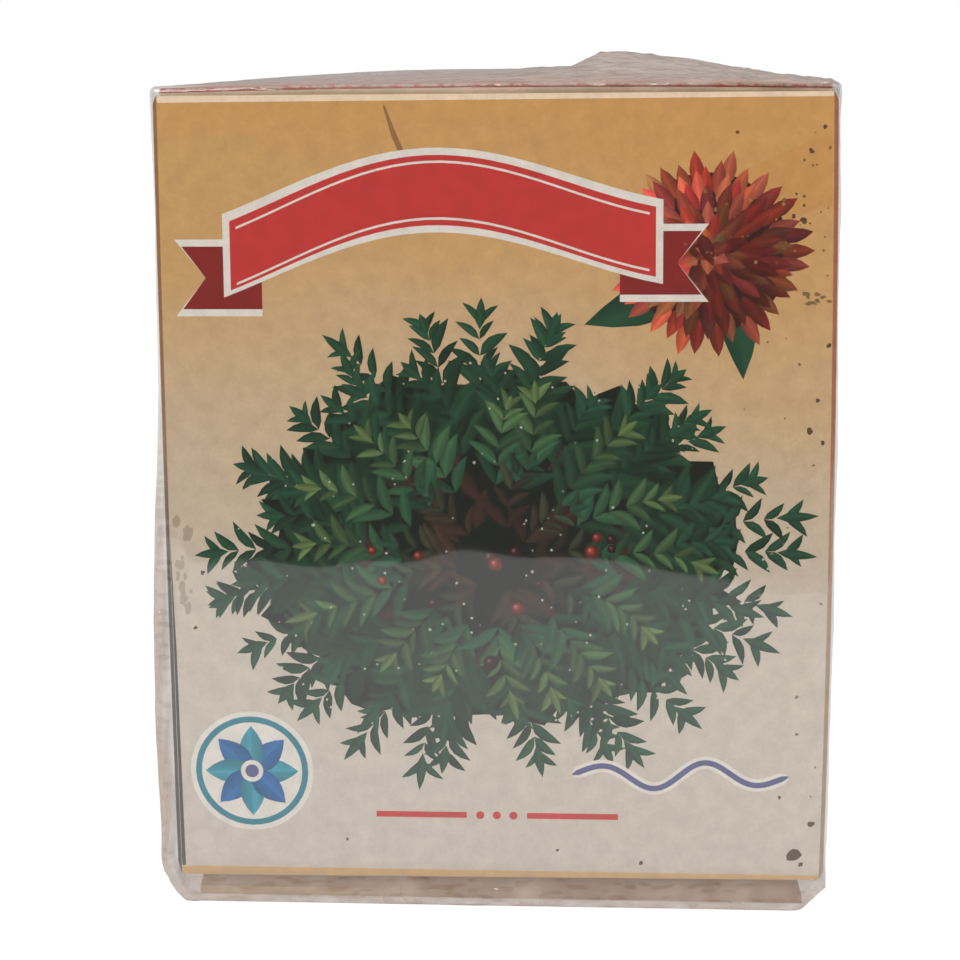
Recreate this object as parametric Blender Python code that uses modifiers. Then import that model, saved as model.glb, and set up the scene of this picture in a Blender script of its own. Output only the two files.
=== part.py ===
"""A shrink-wrapped folding carton with one dried resurrection plant inside.

Units are metres and +Z is up. The carton's printed front faces -Y.
The origin lies in the middle of the wrap's footprint, on the surface that it stands on.
"""

import math
import random

import bmesh
import bpy
from mathutils import Vector

# Carton board
CARTON_WIDTH = 0.086
CARTON_DEPTH = 0.062
PANEL_HEIGHT = 0.102
BOARD = 0.0005
FRONT_EDGE_LIFT = 0.005
DUST_CREASE_STEP = 0.0009
BOARD_COLOUR = (0.36, 0.22, 0.10)
BOARD_ROUGHNESS = 0.45
MERGE_DISTANCE = 0.00001

# Closures, which have slipped open a little under the wrap
TOP_INSET = 0.0012
TOP_POP = 0.0009
TOP_BOW = 0.0021
TOP_BOW_SQUARENESS = 2.2
TOP_BOW_FULLNESS = 0.8
TOP_TUCK_SETBACK = 0.0016
TOP_TUCK_LENGTH = 0.014
BASE_INSET = 0.0032
BASE_DROP_RUN = 0.016
BASE_TUCK_SETBACK = 0.0020
BASE_TUCK_LENGTH = 0.013
TUCK_TAPER = 0.004
TUCK_BEND_SHARE = 0.45
DUST_LENGTH = 0.024
DUST_TAPER = 0.003
DUST_FRONT_SETBACK = 0.0032
DUST_BACK_SETBACK = 0.0030
SEAM_LAP = 0.011
LAP_TAPER = 0.003
SEAM_GAP = 0.0003
PANEL_COLUMNS = 10
PANEL_ROWS = 8

# Shrink film, thicker than the real 0.02 mm so that it is a sound solid
FILM = 0.0003
FILM_GAP = 0.0003
FILM_CORNER = 0.0008
FILM_TOP_CHAMFER = 0.0005
FILM_TOP_EASE = 0.0001
FILM_BASE_ROUND = 0.0024
FILM_BASE_CHAMFER = 0.0034
FILM_BASE_SHARPNESS = 3
FILM_CUTS = 11
FILM_LEVELS = (0.0, 0.0010, 0.0024, 0.0048, 0.009, 0.024, 0.042, 0.060, 0.078, 0.094, 0.1045)
FILM_RIM_SHARE = 0.2
FILM_COLOUR = (0.85, 0.87, 0.90)
FILM_ROUGHNESS = 0.08
FILM_ALPHA = 0.25
CUBE_EDGE = 0.999
FIN_REACH = 0.0014
FIN_TOP = 0.075
FIN_DEPTH = 0.018
FIN_FADE = 0.55
FIN_FOOT = 0.006
LUMP_HEIGHT = 0.0024
LUMP_START = 0.0085
LUMP_PEAK = 0.0135
LUMP_DEPTH = 0.016
LUMP_BACK = 0.004
LUMP_FALL = 0.9
LUMP_SIDE_EDGE = 0.006
LUMP_END_EDGE = 0.012
VENT_RADIUS = 0.0012
VENT_PLACE = (0.012, 0.080)
VENT_SEGMENTS = 16
VENT_CUT = 0.0018

# Dried plant
PLANT_SPREAD = 0.0285
PLANT_CORE = 0.0245
PLANT_GAP = 0.0003
PLANT_SEED = 11
PLANT_COLOUR = (0.16, 0.075, 0.035)
PLANT_ROUGHNESS = 0.85
CORE_SEGMENTS = 16
CORE_RINGS = 10
OUTER_FRONDS = 21
OUTER_TWIST = 0.45
OUTER_SWAY = 0.05
OUTER_START = math.radians(158)
OUTER_END = math.radians(24)
OUTER_STEPS = 11
INNER_FRONDS = 12
INNER_TWIST = 0.7
INNER_SWAY = 0.08
INNER_START = math.radians(62)
INNER_END = math.radians(9)
INNER_STEPS = 6
INNER_SETBACK = 0.0012
INNER_WIDTH_SHARE = 0.9
FROND_WIDTH = 0.0062
FROND_THICKNESS = 0.0040
FROND_VARIATION = 0.0012
FROND_ROOT_SHARE = 0.86
FROND_SWELL_START = 0.12
FROND_SWELL_RUN = 0.84
FROND_TIP_SHARE = 0.45
FROND_TIP_SHIFT = 0.7
TOOTH_OUT = 1.16
TOOTH_IN = 0.80
ROOT_RADIUS = 0.0065
ROOT_START_SHARE = 0.75
ROOT_RING_SHARE = 0.60

HALF_WIDTH = CARTON_WIDTH / 2
HALF_DEPTH = CARTON_DEPTH / 2
PANEL_BASE = FRONT_EDGE_LIFT
PANEL_TOP = FRONT_EDGE_LIFT + PANEL_HEIGHT
BASE_LEVEL = FILM + FILM_GAP
FILM_OFFSET = FILM + FILM_GAP
FILM_HALF_WIDTH = HALF_WIDTH + FILM_OFFSET
FILM_HALF_DEPTH = HALF_DEPTH + FILM_OFFSET


def clear_scene():
    for item in list(bpy.data.objects):
        bpy.data.objects.remove(item, do_unlink=True)


def new_collection(name):
    collection = bpy.data.collections.new(name)
    bpy.context.scene.collection.children.link(collection)
    return collection


def material(name, colour, roughness, alpha=1.0):
    made = bpy.data.materials.new(name)
    made.use_nodes = True
    shader = made.node_tree.nodes["Principled BSDF"]
    shader.inputs["Base Color"].default_value = (*colour, 1.0)
    shader.inputs["Roughness"].default_value = roughness
    shader.inputs["Alpha"].default_value = alpha
    return made


def object_from(name, bm, collection, finish=None):
    mesh = bpy.data.meshes.new(name)
    bm.to_mesh(mesh)
    bm.free()
    made = bpy.data.objects.new(name, mesh)
    collection.objects.link(made)
    if finish is not None:
        mesh.materials.append(finish)
    return made


def ease(value):
    value = min(max(value, 0.0), 1.0)
    return value * value * (3.0 - 2.0 * value)


def spread(low, high, count):
    return [low + (high - low) * index / count for index in range(count + 1)]


def top_height(x, y):
    """Outer height of the bowed top closure, which lifts towards its tuck fold."""
    across = min(abs(x) / HALF_WIDTH, 1.0)
    along = min(max((HALF_DEPTH - y) / CARTON_DEPTH, 0.0), 1.0)
    bow = TOP_BOW * (1.0 - across ** TOP_BOW_SQUARENESS) * math.sin(math.pi * along) ** TOP_BOW_FULLNESS
    return PANEL_TOP + TOP_POP * along + bow


def base_height(y):
    """Outer height of the bottom closure, which hangs below its hinge on the back wall."""
    return BASE_LEVEL + (PANEL_BASE - BASE_LEVEL) * (1.0 - ease((HALF_DEPTH - y) / BASE_DROP_RUN))


def add_panel(bm, columns, rows, place):
    """Add a grid of faces, whose corners place(column, row) gives."""
    grid = [[bm.verts.new(place(column, row)) for column in columns] for row in rows]
    for lower, upper in zip(grid, grid[1:]):
        for index in range(len(columns) - 1):
            bm.faces.new((lower[index], lower[index + 1], upper[index + 1], upper[index]))


def tapered(columns):
    """Draw a tuck flap's columns together for its free edge."""
    reach = max(columns)
    return {column: column * (1.0 - TUCK_TAPER / reach) for column in columns}


def add_walls(bm, back_columns, side_columns):
    wall_rows = [PANEL_BASE, PANEL_BASE + DUST_CREASE_STEP, PANEL_TOP - DUST_CREASE_STEP, PANEL_TOP]
    side_rows = wall_rows[1:3]
    add_panel(bm, [-HALF_WIDTH, HALF_WIDTH], wall_rows, lambda x, z: (x, -HALF_DEPTH, z))
    add_panel(bm, back_columns[::-1], wall_rows, lambda x, z: (x, HALF_DEPTH, z))
    add_panel(bm, side_columns, side_rows, lambda y, z: (HALF_WIDTH, y, z))
    seam_side = [y for y in side_columns[::-1] if y < HALF_DEPTH - BOARD - SEAM_GAP]
    inner_back = HALF_DEPTH - BOARD - SEAM_GAP
    add_panel(bm, [inner_back, *seam_side], side_rows, lambda y, z: (-HALF_WIDTH, y, z))
    middle = (PANEL_BASE + PANEL_TOP) / 2

    def lap(share, z):
        return (-HALF_WIDTH + SEAM_LAP * share, inner_back, z + math.copysign(LAP_TAPER, middle - z) * share)

    add_panel(bm, [1.0, 0.0], side_rows, lap)


def add_top_closure(bm, columns):
    fold = -HALF_DEPTH + TOP_TUCK_SETBACK
    rows = spread(fold, HALF_DEPTH, PANEL_ROWS)
    add_panel(bm, columns, rows, lambda x, y: (x, y, top_height(x, y)))
    inward = tapered(columns)
    add_panel(
        bm, columns, [1.0, TUCK_BEND_SHARE, 0.0],
        lambda x, share: (x + (inward[x] - x) * ease(share), fold,
                          top_height(x, fold) - TOP_TUCK_LENGTH * share))


def add_base_closure(bm, columns):
    fold = -HALF_DEPTH + BASE_TUCK_SETBACK
    rows = spread(fold, HALF_DEPTH, 2 * PANEL_ROWS)
    add_panel(bm, columns, rows[::-1], lambda x, y: (x, y, base_height(y)))
    inward = tapered(columns)
    add_panel(
        bm, columns, [0.0, TUCK_BEND_SHARE, 1.0],
        lambda x, share: (x + (inward[x] - x) * ease(share), fold,
                          base_height(fold) + BASE_TUCK_LENGTH * share))


def add_dust_flaps(bm, side_columns):
    hinge = side_columns[1:-1]
    middle = (hinge[0] + hinge[-1]) / 2
    for side in (-1, 1):
        for level, turn in ((PANEL_TOP - DUST_CREASE_STEP, 1), (PANEL_BASE + DUST_CREASE_STEP, -1)):
            def place(y, share, side=side, level=level):
                narrowed = y - (y - middle) * share * DUST_TAPER / (hinge[-1] - middle)
                return (side * (HALF_WIDTH - DUST_LENGTH * share), narrowed, level)
            columns = hinge if side * turn > 0 else hinge[::-1]
            add_panel(bm, columns, [0.0, 1.0], place)


def make_carton(collection):
    """One folded blank: its outer faces are drawn, and Solidify adds the board inwards."""
    base_reach = HALF_WIDTH - BASE_INSET
    top_reach = HALF_WIDTH - TOP_INSET
    base_columns = spread(-base_reach, base_reach, PANEL_COLUMNS)
    top_columns = [-top_reach, *base_columns, top_reach]
    hinge_front = -HALF_DEPTH + DUST_FRONT_SETBACK
    side_columns = [-HALF_DEPTH, hinge_front, HALF_DEPTH - DUST_BACK_SETBACK, HALF_DEPTH]
    bm = bmesh.new()
    add_walls(bm, [-HALF_WIDTH, *top_columns, HALF_WIDTH], side_columns)
    add_top_closure(bm, top_columns)
    add_base_closure(bm, base_columns)
    add_dust_flaps(bm, side_columns)
    bmesh.ops.remove_doubles(bm, verts=bm.verts, dist=MERGE_DISTANCE)
    finish = material("printed_board", BOARD_COLOUR, BOARD_ROUGHNESS)
    carton = object_from("carton", bm, collection, finish)
    board = carton.modifiers.new("board", "SOLIDIFY")
    board.thickness = BOARD
    board.offset = -1.0
    board.use_even_offset = True
    return carton


def lump(x, y):
    """The crumpled film on the top: steep on its left, easy on its right."""
    rise = ease((x - LUMP_START) / (LUMP_PEAK - LUMP_START))
    fall = 1.0 - LUMP_FALL * ease((x - LUMP_PEAK) / (FILM_HALF_WIDTH - LUMP_PEAK))
    depth = math.exp(-((y - LUMP_BACK) / LUMP_DEPTH) ** 2)
    side_edge = ease((FILM_HALF_WIDTH - abs(x)) / LUMP_SIDE_EDGE)
    end_edge = ease((FILM_HALF_DEPTH - abs(y)) / LUMP_END_EDGE)
    return LUMP_HEIGHT * rise * fall * depth * side_edge * end_edge


def fin(side, y, z):
    """How far the loose film stands off a side: front left and back right."""
    distance = abs(y - side * FILM_HALF_DEPTH)
    near = 1.0 - ease(distance / FIN_DEPTH)
    level = ease((FIN_TOP - z) / (FIN_TOP * FIN_FADE)) * ease(z / FIN_FOOT)
    return FIN_REACH * near * level


def base_corner(side, z):
    """How far a bottom corner draws in: round on the left, a chamfer on the right."""
    if side < 0:
        rest = max(FILM_BASE_ROUND - z, 0.0)
        return FILM_BASE_ROUND - math.sqrt(max(FILM_BASE_ROUND ** 2 - rest ** 2, 0.0))
    return max(FILM_BASE_CHAMFER - z, 0.0)


def film_point(share_x, share_y, share_z):
    """Place a point of the unit cube's surface on the film."""
    side = -1 if share_x < 0 else 1
    x = share_x * FILM_HALF_WIDTH
    y = share_y * FILM_HALF_DEPTH
    top = top_height(x, y) + FILM_OFFSET + FILM_TOP_EASE + lump(x, y)
    bottom = base_height(y) - BASE_LEVEL
    z = bottom + (top - bottom) * share_z
    near_top = ease(1.0 - (top - z) / FILM_CORNER)
    reach = 1.0 - near_top * FILM_TOP_CHAMFER / FILM_HALF_DEPTH
    corner = base_corner(side, z) * abs(share_x) ** FILM_BASE_SHARPNESS
    drawn = share_x * (reach * FILM_HALF_WIDTH - corner)
    if abs(share_x) > CUBE_EDGE:
        drawn += side * fin(side, y, z)
    return Vector((drawn, y * reach, z))


def round_vertical_edges(bm):
    """Pull the four vertical edges in from the sharp corner to the 45 degree point of a round."""
    pull = FILM_CORNER * (1.0 - math.sqrt(0.5))
    for vert in bm.verts:
        if abs(vert.co.x) > CUBE_EDGE and abs(vert.co.y) > CUBE_EDGE:
            vert.co.x -= math.copysign(pull / FILM_HALF_WIDTH, vert.co.x)
            vert.co.y -= math.copysign(pull / FILM_HALF_DEPTH, vert.co.y)


def make_film(collection, cutters):
    """A closed shell around the carton, from a cube whose cuts crowd towards its edges."""
    bm = bmesh.new()
    bmesh.ops.create_cube(bm, size=2.0)
    bmesh.ops.subdivide_edges(bm, edges=bm.edges, cuts=FILM_CUTS, use_grid_fill=True)
    corner_x = 1.0 - FILM_CORNER / FILM_HALF_WIDTH
    corner_y = 1.0 - FILM_CORNER / FILM_HALF_DEPTH
    for vert in bm.verts:
        vert.co.x = crowd(vert.co.x, corner_x)
        vert.co.y = crowd(vert.co.y, corner_y)
        vert.co.z = crowd_height(vert.co.z)
    round_vertical_edges(bm)
    for vert in bm.verts:
        vert.co = film_point(vert.co.x, vert.co.y, vert.co.z)
    finish = material("clear_film", FILM_COLOUR, FILM_ROUGHNESS, FILM_ALPHA)
    film = object_from("shrink_film", bm, collection, finish)
    shell = film.modifiers.new("shell", "SOLIDIFY")
    shell.thickness = FILM
    shell.offset = -1.0
    shell.use_even_offset = True
    vent = film.modifiers.new("vent", "BOOLEAN")
    vent.operation = "DIFFERENCE"
    vent.object = make_vent_cutter(cutters)
    return film


def crowd(value, corner):
    """Move the outermost cut of a cube's side to where the corner's round starts."""
    step = 2.0 / (FILM_CUTS + 1)
    inner = 1.0 - step
    size = abs(value)
    if size <= inner:
        return value * corner / inner
    return math.copysign(corner + (size - inner) / step * (1.0 - corner), value)


def crowd_height(value):
    """Turn a cube's height into a share of the film's, with cuts close together at both ends."""
    levels = [*FILM_LEVELS, PANEL_TOP - FILM_CORNER * FILM_RIM_SHARE, PANEL_TOP + FILM_OFFSET]
    index = round((value + 1.0) * (FILM_CUTS + 1) / 2)
    return levels[index] / levels[-1]


def make_vent_cutter(cutters):
    bm = bmesh.new()
    bmesh.ops.create_cone(
        bm, cap_ends=True, segments=VENT_SEGMENTS, radius1=VENT_RADIUS, radius2=VENT_RADIUS, depth=VENT_CUT)
    cutter = object_from("vent_cutter", bm, cutters)
    cutter.location = (VENT_PLACE[0], FILM_HALF_DEPTH, VENT_PLACE[1])
    cutter.rotation_euler = (math.pi / 2, 0.0, 0.0)
    cutter.hide_render = True
    cutter.display_type = "WIRE"
    return cutter


def frond_path(turn, twist, spread_radius, start, end, count):
    """Points of a frond that climbs round the ball and hooks in over its top."""
    points = []
    for index in range(count + 1):
        share = index / count
        polar = start + (end - start) * share
        swell = math.sqrt(math.sin(math.pi * (FROND_SWELL_START + FROND_SWELL_RUN * share)))
        radius = PLANT_CORE * FROND_ROOT_SHARE * (1.0 - swell) + spread_radius * swell
        around = turn + twist * share
        flat = radius * math.sin(polar)
        points.append(Vector((flat * math.cos(around), flat * math.sin(around), radius * math.cos(polar))))
    return points


def add_frond(bm, points, width, thickness):
    """Loft a flat frond with a toothed outline along its path."""
    rings = []
    last = len(points) - 1
    for index, point in enumerate(points):
        ahead = points[min(index + 1, last)] - points[max(index - 1, 0)]
        outward = point.normalized()
        across = ahead.cross(outward).normalized()
        outward = across.cross(ahead).normalized()
        tooth = TOOTH_OUT if index % 2 else TOOTH_IN
        fullness = math.sin(math.pi * (index + FROND_TIP_SHIFT) / (last + 1.0))
        taper = FROND_TIP_SHARE + (1.0 - FROND_TIP_SHARE) * fullness
        half = across * (width * 0.5 * tooth * taper)
        rise = outward * (thickness * 0.5 * taper)
        rings.append([bm.verts.new(point + offset) for offset in (half, rise, -half, -rise)])
    for lower, upper in zip(rings, rings[1:]):
        for index in range(4):
            after = (index + 1) % 4
            bm.faces.new((lower[index], lower[after], upper[after], upper[index]))
    bm.faces.new(rings[0][::-1])
    bm.faces.new(rings[-1])
    bmesh.ops.recalc_face_normals(bm, faces=bm.faces)


def make_plant_core(collection, finish):
    bm = bmesh.new()
    bmesh.ops.create_uvsphere(bm, u_segments=CORE_SEGMENTS, v_segments=CORE_RINGS, radius=PLANT_CORE)
    narrowing = ROOT_RADIUS / (PLANT_CORE * ROOT_RING_SHARE)
    for vert in bm.verts:
        if vert.co.z < -PLANT_CORE * ROOT_START_SHARE:
            vert.co.z = -PLANT_SPREAD
            vert.co.x *= narrowing
            vert.co.y *= narrowing
    return object_from("dried_plant", bm, collection, finish)


def add_frond_object(name, fronds, path, width):
    bm = bmesh.new()
    add_frond(bm, path, width, FROND_THICKNESS)
    return object_from(name, bm, fronds)


def make_plant(collection):
    """A dried rosette curled into a ball: fronds fused to a smaller core over a short root."""
    draw = random.Random(PLANT_SEED)
    finish = material("dry_fronds", PLANT_COLOUR, PLANT_ROUGHNESS)
    plant = make_plant_core(collection, finish)
    fronds = new_collection("fronds")
    for index in range(OUTER_FRONDS):
        turn = math.tau * index / OUTER_FRONDS + draw.uniform(-OUTER_SWAY, OUTER_SWAY)
        reach = PLANT_SPREAD - FROND_THICKNESS / 2 - draw.uniform(0.0, FROND_VARIATION)
        path = frond_path(turn, OUTER_TWIST, reach, OUTER_START, OUTER_END, OUTER_STEPS)
        add_frond_object("outer_frond", fronds, path, FROND_WIDTH)
    for index in range(INNER_FRONDS):
        turn = math.tau * (index + 0.5) / INNER_FRONDS + draw.uniform(-INNER_SWAY, INNER_SWAY)
        reach = PLANT_SPREAD - FROND_THICKNESS / 2 - INNER_SETBACK - draw.uniform(0.0, FROND_VARIATION)
        path = frond_path(turn, INNER_TWIST, reach, INNER_START, INNER_END, INNER_STEPS)
        add_frond_object("inner_frond", fronds, path, FROND_WIDTH * INNER_WIDTH_SHARE)
    fuse(plant, fronds)
    plant.location = (0.0, 0.0, BASE_LEVEL + BOARD + PLANT_GAP + PLANT_SPREAD)
    return plant


def fuse(body, repeats):
    """Join a collection's objects to a body, then remove them."""
    union = body.modifiers.new("union", "BOOLEAN")
    union.operation = "UNION"
    union.operand_type = "COLLECTION"
    union.collection = repeats
    union.solver = "EXACT"
    shape = body.evaluated_get(bpy.context.evaluated_depsgraph_get())
    body_mesh = bpy.data.meshes.new_from_object(shape)
    body.modifiers.remove(union)
    keep_outer_skin(body_mesh)
    body.data = body_mesh
    for item in list(repeats.objects):
        bpy.data.objects.remove(item, do_unlink=True)
    bpy.data.collections.remove(repeats)


def skin_of(vert, seen):
    """Collect the vertices that are joined to one vertex by edges."""
    found = [vert]
    seen.add(vert)
    for current in found:
        for edge in current.link_edges:
            other = edge.other_vert(current)
            if other not in seen:
                seen.add(other)
                found.append(other)
    return found


def keep_outer_skin(mesh):
    """Fill the hollows that fusing has sealed: keep the largest connected skin only."""
    bm = bmesh.new()
    bm.from_mesh(mesh)
    seen = set()
    skins = [skin_of(vert, seen) for vert in bm.verts if vert not in seen]
    outer = max(skins, key=len)
    spare = [vert for skin in skins if skin is not outer for vert in skin]
    bmesh.ops.delete(bm, geom=spare, context="VERTS")
    bm.to_mesh(mesh)
    bm.free()


def main():
    clear_scene()
    collection = new_collection("wrapped_plant_carton")
    cutters = new_collection("cutters")
    make_carton(collection)
    make_film(collection, cutters)
    make_plant(collection)


main()
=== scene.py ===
"""Looks of a shrink-wrapped folding carton with a dried plant inside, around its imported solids."""

import math
import random

import bmesh
import bpy
from bpy.props import FloatProperty, FloatVectorProperty, IntProperty, PointerProperty
from mathutils import Matrix, Vector, geometry, noise


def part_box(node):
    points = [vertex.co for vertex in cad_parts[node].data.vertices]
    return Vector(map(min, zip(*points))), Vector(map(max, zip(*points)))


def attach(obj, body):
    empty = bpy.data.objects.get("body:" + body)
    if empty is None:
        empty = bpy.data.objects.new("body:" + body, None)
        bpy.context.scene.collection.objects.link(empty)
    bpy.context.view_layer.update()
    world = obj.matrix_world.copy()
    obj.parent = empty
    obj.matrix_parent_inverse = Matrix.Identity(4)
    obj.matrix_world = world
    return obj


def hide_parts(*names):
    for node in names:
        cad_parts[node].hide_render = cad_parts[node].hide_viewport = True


bl_info = {
    "name": "Wrapped Plant Carton",
    "version": (1, 0, 0),
    "blender": (4, 5, 0),
    "location": "3D View > Sidebar > Carton",
    "description": "Builds a printed folding carton in clear shrink film with a dried plant inside",
    "category": "Add Mesh",
}

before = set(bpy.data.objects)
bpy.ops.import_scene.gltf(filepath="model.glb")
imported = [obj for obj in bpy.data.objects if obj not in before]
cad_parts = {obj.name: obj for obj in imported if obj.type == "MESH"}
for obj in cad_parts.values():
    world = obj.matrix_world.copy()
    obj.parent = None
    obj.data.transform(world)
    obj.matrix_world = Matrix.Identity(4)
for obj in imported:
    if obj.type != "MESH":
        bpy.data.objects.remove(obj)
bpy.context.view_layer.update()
CARTON_LOW, CARTON_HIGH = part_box("carton")
PLANT_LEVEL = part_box("dried_plant")[0].z

# Lengths are in metres, those of the print in millimetres, and angles in degrees
MM = 0.001

# The carton's panels, flaps and closures
HALF_WIDTH = (CARTON_HIGH.x - CARTON_LOW.x) / 2
HALF_DEPTH = (CARTON_HIGH.y - CARTON_LOW.y) / 2
PANEL_BASE = 0.005
PANEL_HEIGHT = 0.102
PANEL_TOP = PANEL_BASE + PANEL_HEIGHT
CREASE_STEP = 0.0009
TOP_INSET = 0.0007
TOP_POP = 0.0009
TOP_BOW = 0.0021
TOP_TUCK_SETBACK = 0.0016
TOP_TUCK_LENGTH = 0.014
BASE_INSET = 0.0026
BASE_DROP_RUN = 0.016
BASE_TUCK_SETBACK = 0.0020
BASE_TUCK_LENGTH = 0.013
BASE_LEVEL = 0.00025
TUCK_TAPER = 0.004
DUST_LENGTH = 0.024
DUST_TAPER = 0.003
DUST_FRONT_SETBACK = 0.0032
DUST_BACK_SETBACK = 0.0030
SEAM_LAP = 0.011
SEAM_GAP = 0.0003
SEAM_TAPER = 0.003
FOOT_REACH = 0.00078
FOOT_SLOPE = 0.00028

# The walls' bow, the tolerances and the cuts
RIGHT_BOW = 1.3
LEFT_BOW = 0.5
FRONT_BOW = 0.8
BOW_LIMIT = 1.1
NEARLY = 1e-6
KEYS_PER_METRE = 1e6
SNAP_MM = 1e-4
WALL_CUTS = 12
PANEL_CUTS = 10
TOP_CUTS = 12
BASE_CUTS = 20
SMOOTH_FOLDS = 32

# The shrink film
FILM_CUTS = 64
FILM_ROUND = 0.0007
FILM_BASE_ROUND = 0.0024
FILM_BASE_CHAMFER = 0.0034
FIN_TOP = 0.075
FIN_FADE = 0.55
FIN_FOOT = 0.006
FIN_DEPTH = 0.018
FIN_START = 0.93
FIN_BLEND = 0.06
LUMP_START = 0.0085
LUMP_PEAK = 0.0135
LUMP_DEPTH = 0.016
LUMP_BACK = 0.004
LUMP_SIDE_FADE = 0.006
LUMP_FRONT_FADE = 0.012
CRUMPLE_START = -0.004
CRUMPLE_RUN = 0.014
END_BAND = 0.005
END_START = 0.004
CORNER_BAND = 0.004
WRINKLE_DEPTH = 0.00024
PULL_DEPTH = 0.00006
TOP_RIDGE = 0.00010
TOP_CRUMPLE = 0.00034
TOP_FINE_RIDGE = 0.00014
END_RIDGE = 0.00016
END_FINE_RIDGE = 0.00007
CORNER_RIDGE = 0.00010
CROWD = 1.6
CROWD_UPRIGHT = 1.8
VENT_RADIUS = 0.0012
VENT_PLACE = (0.012, 0.080)

# The dried ball of fronds
BALL_RADIUS = 0.0285
CORE_RADIUS = 0.0247
ROOT_START = -0.0185
ROOT_RUN = 0.0055
HEART_RADIUS = 0.0205
FROND_WIDTH = 0.0085
FROND_POINTS = 24
FROND_SINK = 0.0013
FROND_SEED = 11
RIB_CUTS = 14
SMOOTH_SCALES = 40
FROND_LAST = 0.999
SCALE_WIDTH = 0.075
CORE_BUMPS = 0.0006

# The front's print, from the middle of the front's lower edge
PANEL_MM = PANEL_HEIGHT / MM
HALF_MM = HALF_WIDTH / MM
BOUQUET_MIDDLE = 42.0
BOUQUET_WIDTH = 37.0
BOUQUET_RISE = 31.0
BOUQUET_HANG = 27.0
BOUQUET_LIMIT = 38.5
DAHLIA_PLACE = (27.0, 82.0)
DAHLIA_RADIUS = 12.6
FLOWER_PLACE = (-32.5, 13.5)
RIBBON_MIDDLE = 84.0
RIBBON_WAVE = 4.6
RIBBON_TURNS = 0.72
RIBBON_LEAN = 3.0
LEAF_BELLY = 0.8
LEAF_BLUNTNESS = 0.85
LEAF_SHADE = 0.78
BOUGH_LEAN = (34, 56)
BOUGH_TAPER = 0.55
BOUGH_BRIGHTNESS = (0.6, 1.5)

GOLD = (0.700, 0.430, 0.150)
OLIVE = (0.560, 0.380, 0.110)
# Painted shade: a dark brown for the shadowed bottom tuck flap and the upper front left fold.
SHADE_BROWN = (0.320, 0.155, 0.060)
# Painted shade: a dark grey for the shadowed gap along the front's lower left edge.
SHADE_GREY = (0.075, 0.072, 0.066)
EDGE_RED = (0.380, 0.070, 0.045)
EDGE_RUST = (0.400, 0.135, 0.070)
EDGE_TAN = (0.420, 0.270, 0.170)
# Painted highlight: a bright cream for the front's top edge and the top tuck flap.
CREAM_HIGHLIGHT = (0.900, 0.700, 0.500)
WARM_FIELD = (0.600, 0.260, 0.060)
TAN_FIELD = (0.620, 0.370, 0.130)
CREASE_BROWN = (0.330, 0.160, 0.060)
LEAF_BLACK = (0.006, 0.011, 0.006)
LEAF_DEEP = (0.007, 0.028, 0.012)
LEAF_GREEN = (0.010, 0.050, 0.023)
LEAF_LIGHT = (0.075, 0.120, 0.036)
HEART_BROWN = (0.030, 0.014, 0.008)
RUSSET = (0.240, 0.030, 0.014)
RUSSET_LIGHT = (0.420, 0.085, 0.035)
RUSSET_DARK = (0.040, 0.008, 0.006)
SPARK = (0.520, 0.560, 0.470)
RIBBON = (0.600, 0.040, 0.034)
RIBBON_DARK = (0.270, 0.018, 0.016)
WHITE_INK = (0.800, 0.740, 0.660)
TEAL = (0.030, 0.230, 0.300)
BLUE = (0.012, 0.110, 0.290)
SLATE = (0.110, 0.120, 0.260)
DIRT = (0.120, 0.060, 0.030)
TOP_PINK = (0.520, 0.290, 0.210)
BARE_FIBRE = (0.62, 0.52, 0.42)
MILKY_FILM = (0.66, 0.52, 0.43)


def length(name, description, default):
    return FloatProperty(name=name, description=description, default=default, unit="LENGTH")


def count(name, description, default):
    return IntProperty(name=name, description=description, default=default)


def colour(name, description, default):
    return FloatVectorProperty(name=name, description=description, default=default, size=3, subtype="COLOR")


class CartonSettings(bpy.types.PropertyGroup):
    board: length("Board", "Thickness of the paperboard", 0.00045)
    fold_radius: length("Fold radius", "Outer radius of the folds", 0.0006)
    side_bow: length("Side bow", "How far the walls bow outwards", 0.00035)
    paper_top: colour("Upper print ground", "Ground colour at the top of the print", (0.650, 0.340, 0.105))
    paper_base: colour("Lower print ground", "Ground colour at the foot of the print", (0.660, 0.575, 0.500))
    seed: count("Seed", "Draw of the leaves and the wear", 5)


class FilmSettings(bpy.types.PropertyGroup):
    thickness: length("Film", "Thickness of the shrink film", 0.00004)
    gap: length("Gap", "Distance of the tight film from the board", 0.00014)
    fin: length("Fin", "Reach of the loose film at the lower left edge", 0.0019)
    lump: length("Lump", "Height of the crumpled film on the top", 0.0024)
    haze: FloatProperty(
        name="Haze", description="Share of light that the scuffed film scatters", default=0.014,
        subtype="FACTOR")


class PlantSettings(bpy.types.PropertyGroup):
    outer_fronds: count("Outer fronds", "Fronds round the ball", 21)
    inner_fronds: count("Inner fronds", "Fronds of the nest", 12)
    leaflets: count("Leaflets", "Pairs of branchlets on a frond", 15)
    colour: colour("Frond colour", "Colour of the dry fronds", (0.150, 0.070, 0.030))


class StageSettings(bpy.types.PropertyGroup):
    camera_place: FloatVectorProperty(
        name="Camera", description="Place of the camera", default=(0.0177, -0.3160, 0.1107), size=3,
        subtype="TRANSLATION")
    camera_turn: FloatVectorProperty(
        name="Camera turn", description="Pitch down, yaw and roll of the camera in degrees",
        default=(10.47, 3.93, -0.47), size=3)
    lens: FloatProperty(name="Lens", description="Focal length in millimetres", default=84.6)
    floor: length("Floor", "Side of the pale floor", 6.0)


def deselect():
    for item in bpy.context.selected_objects:
        item.select_set(False)


def make_active(item):
    deselect()
    item.select_set(True)
    bpy.context.view_layer.objects.active = item


def settle(item):
    """Put an object's place and turn in its mesh, so that it sits at the origin."""
    item.data.transform(item.matrix_basis)
    item.matrix_basis = Matrix.Identity(4)


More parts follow.
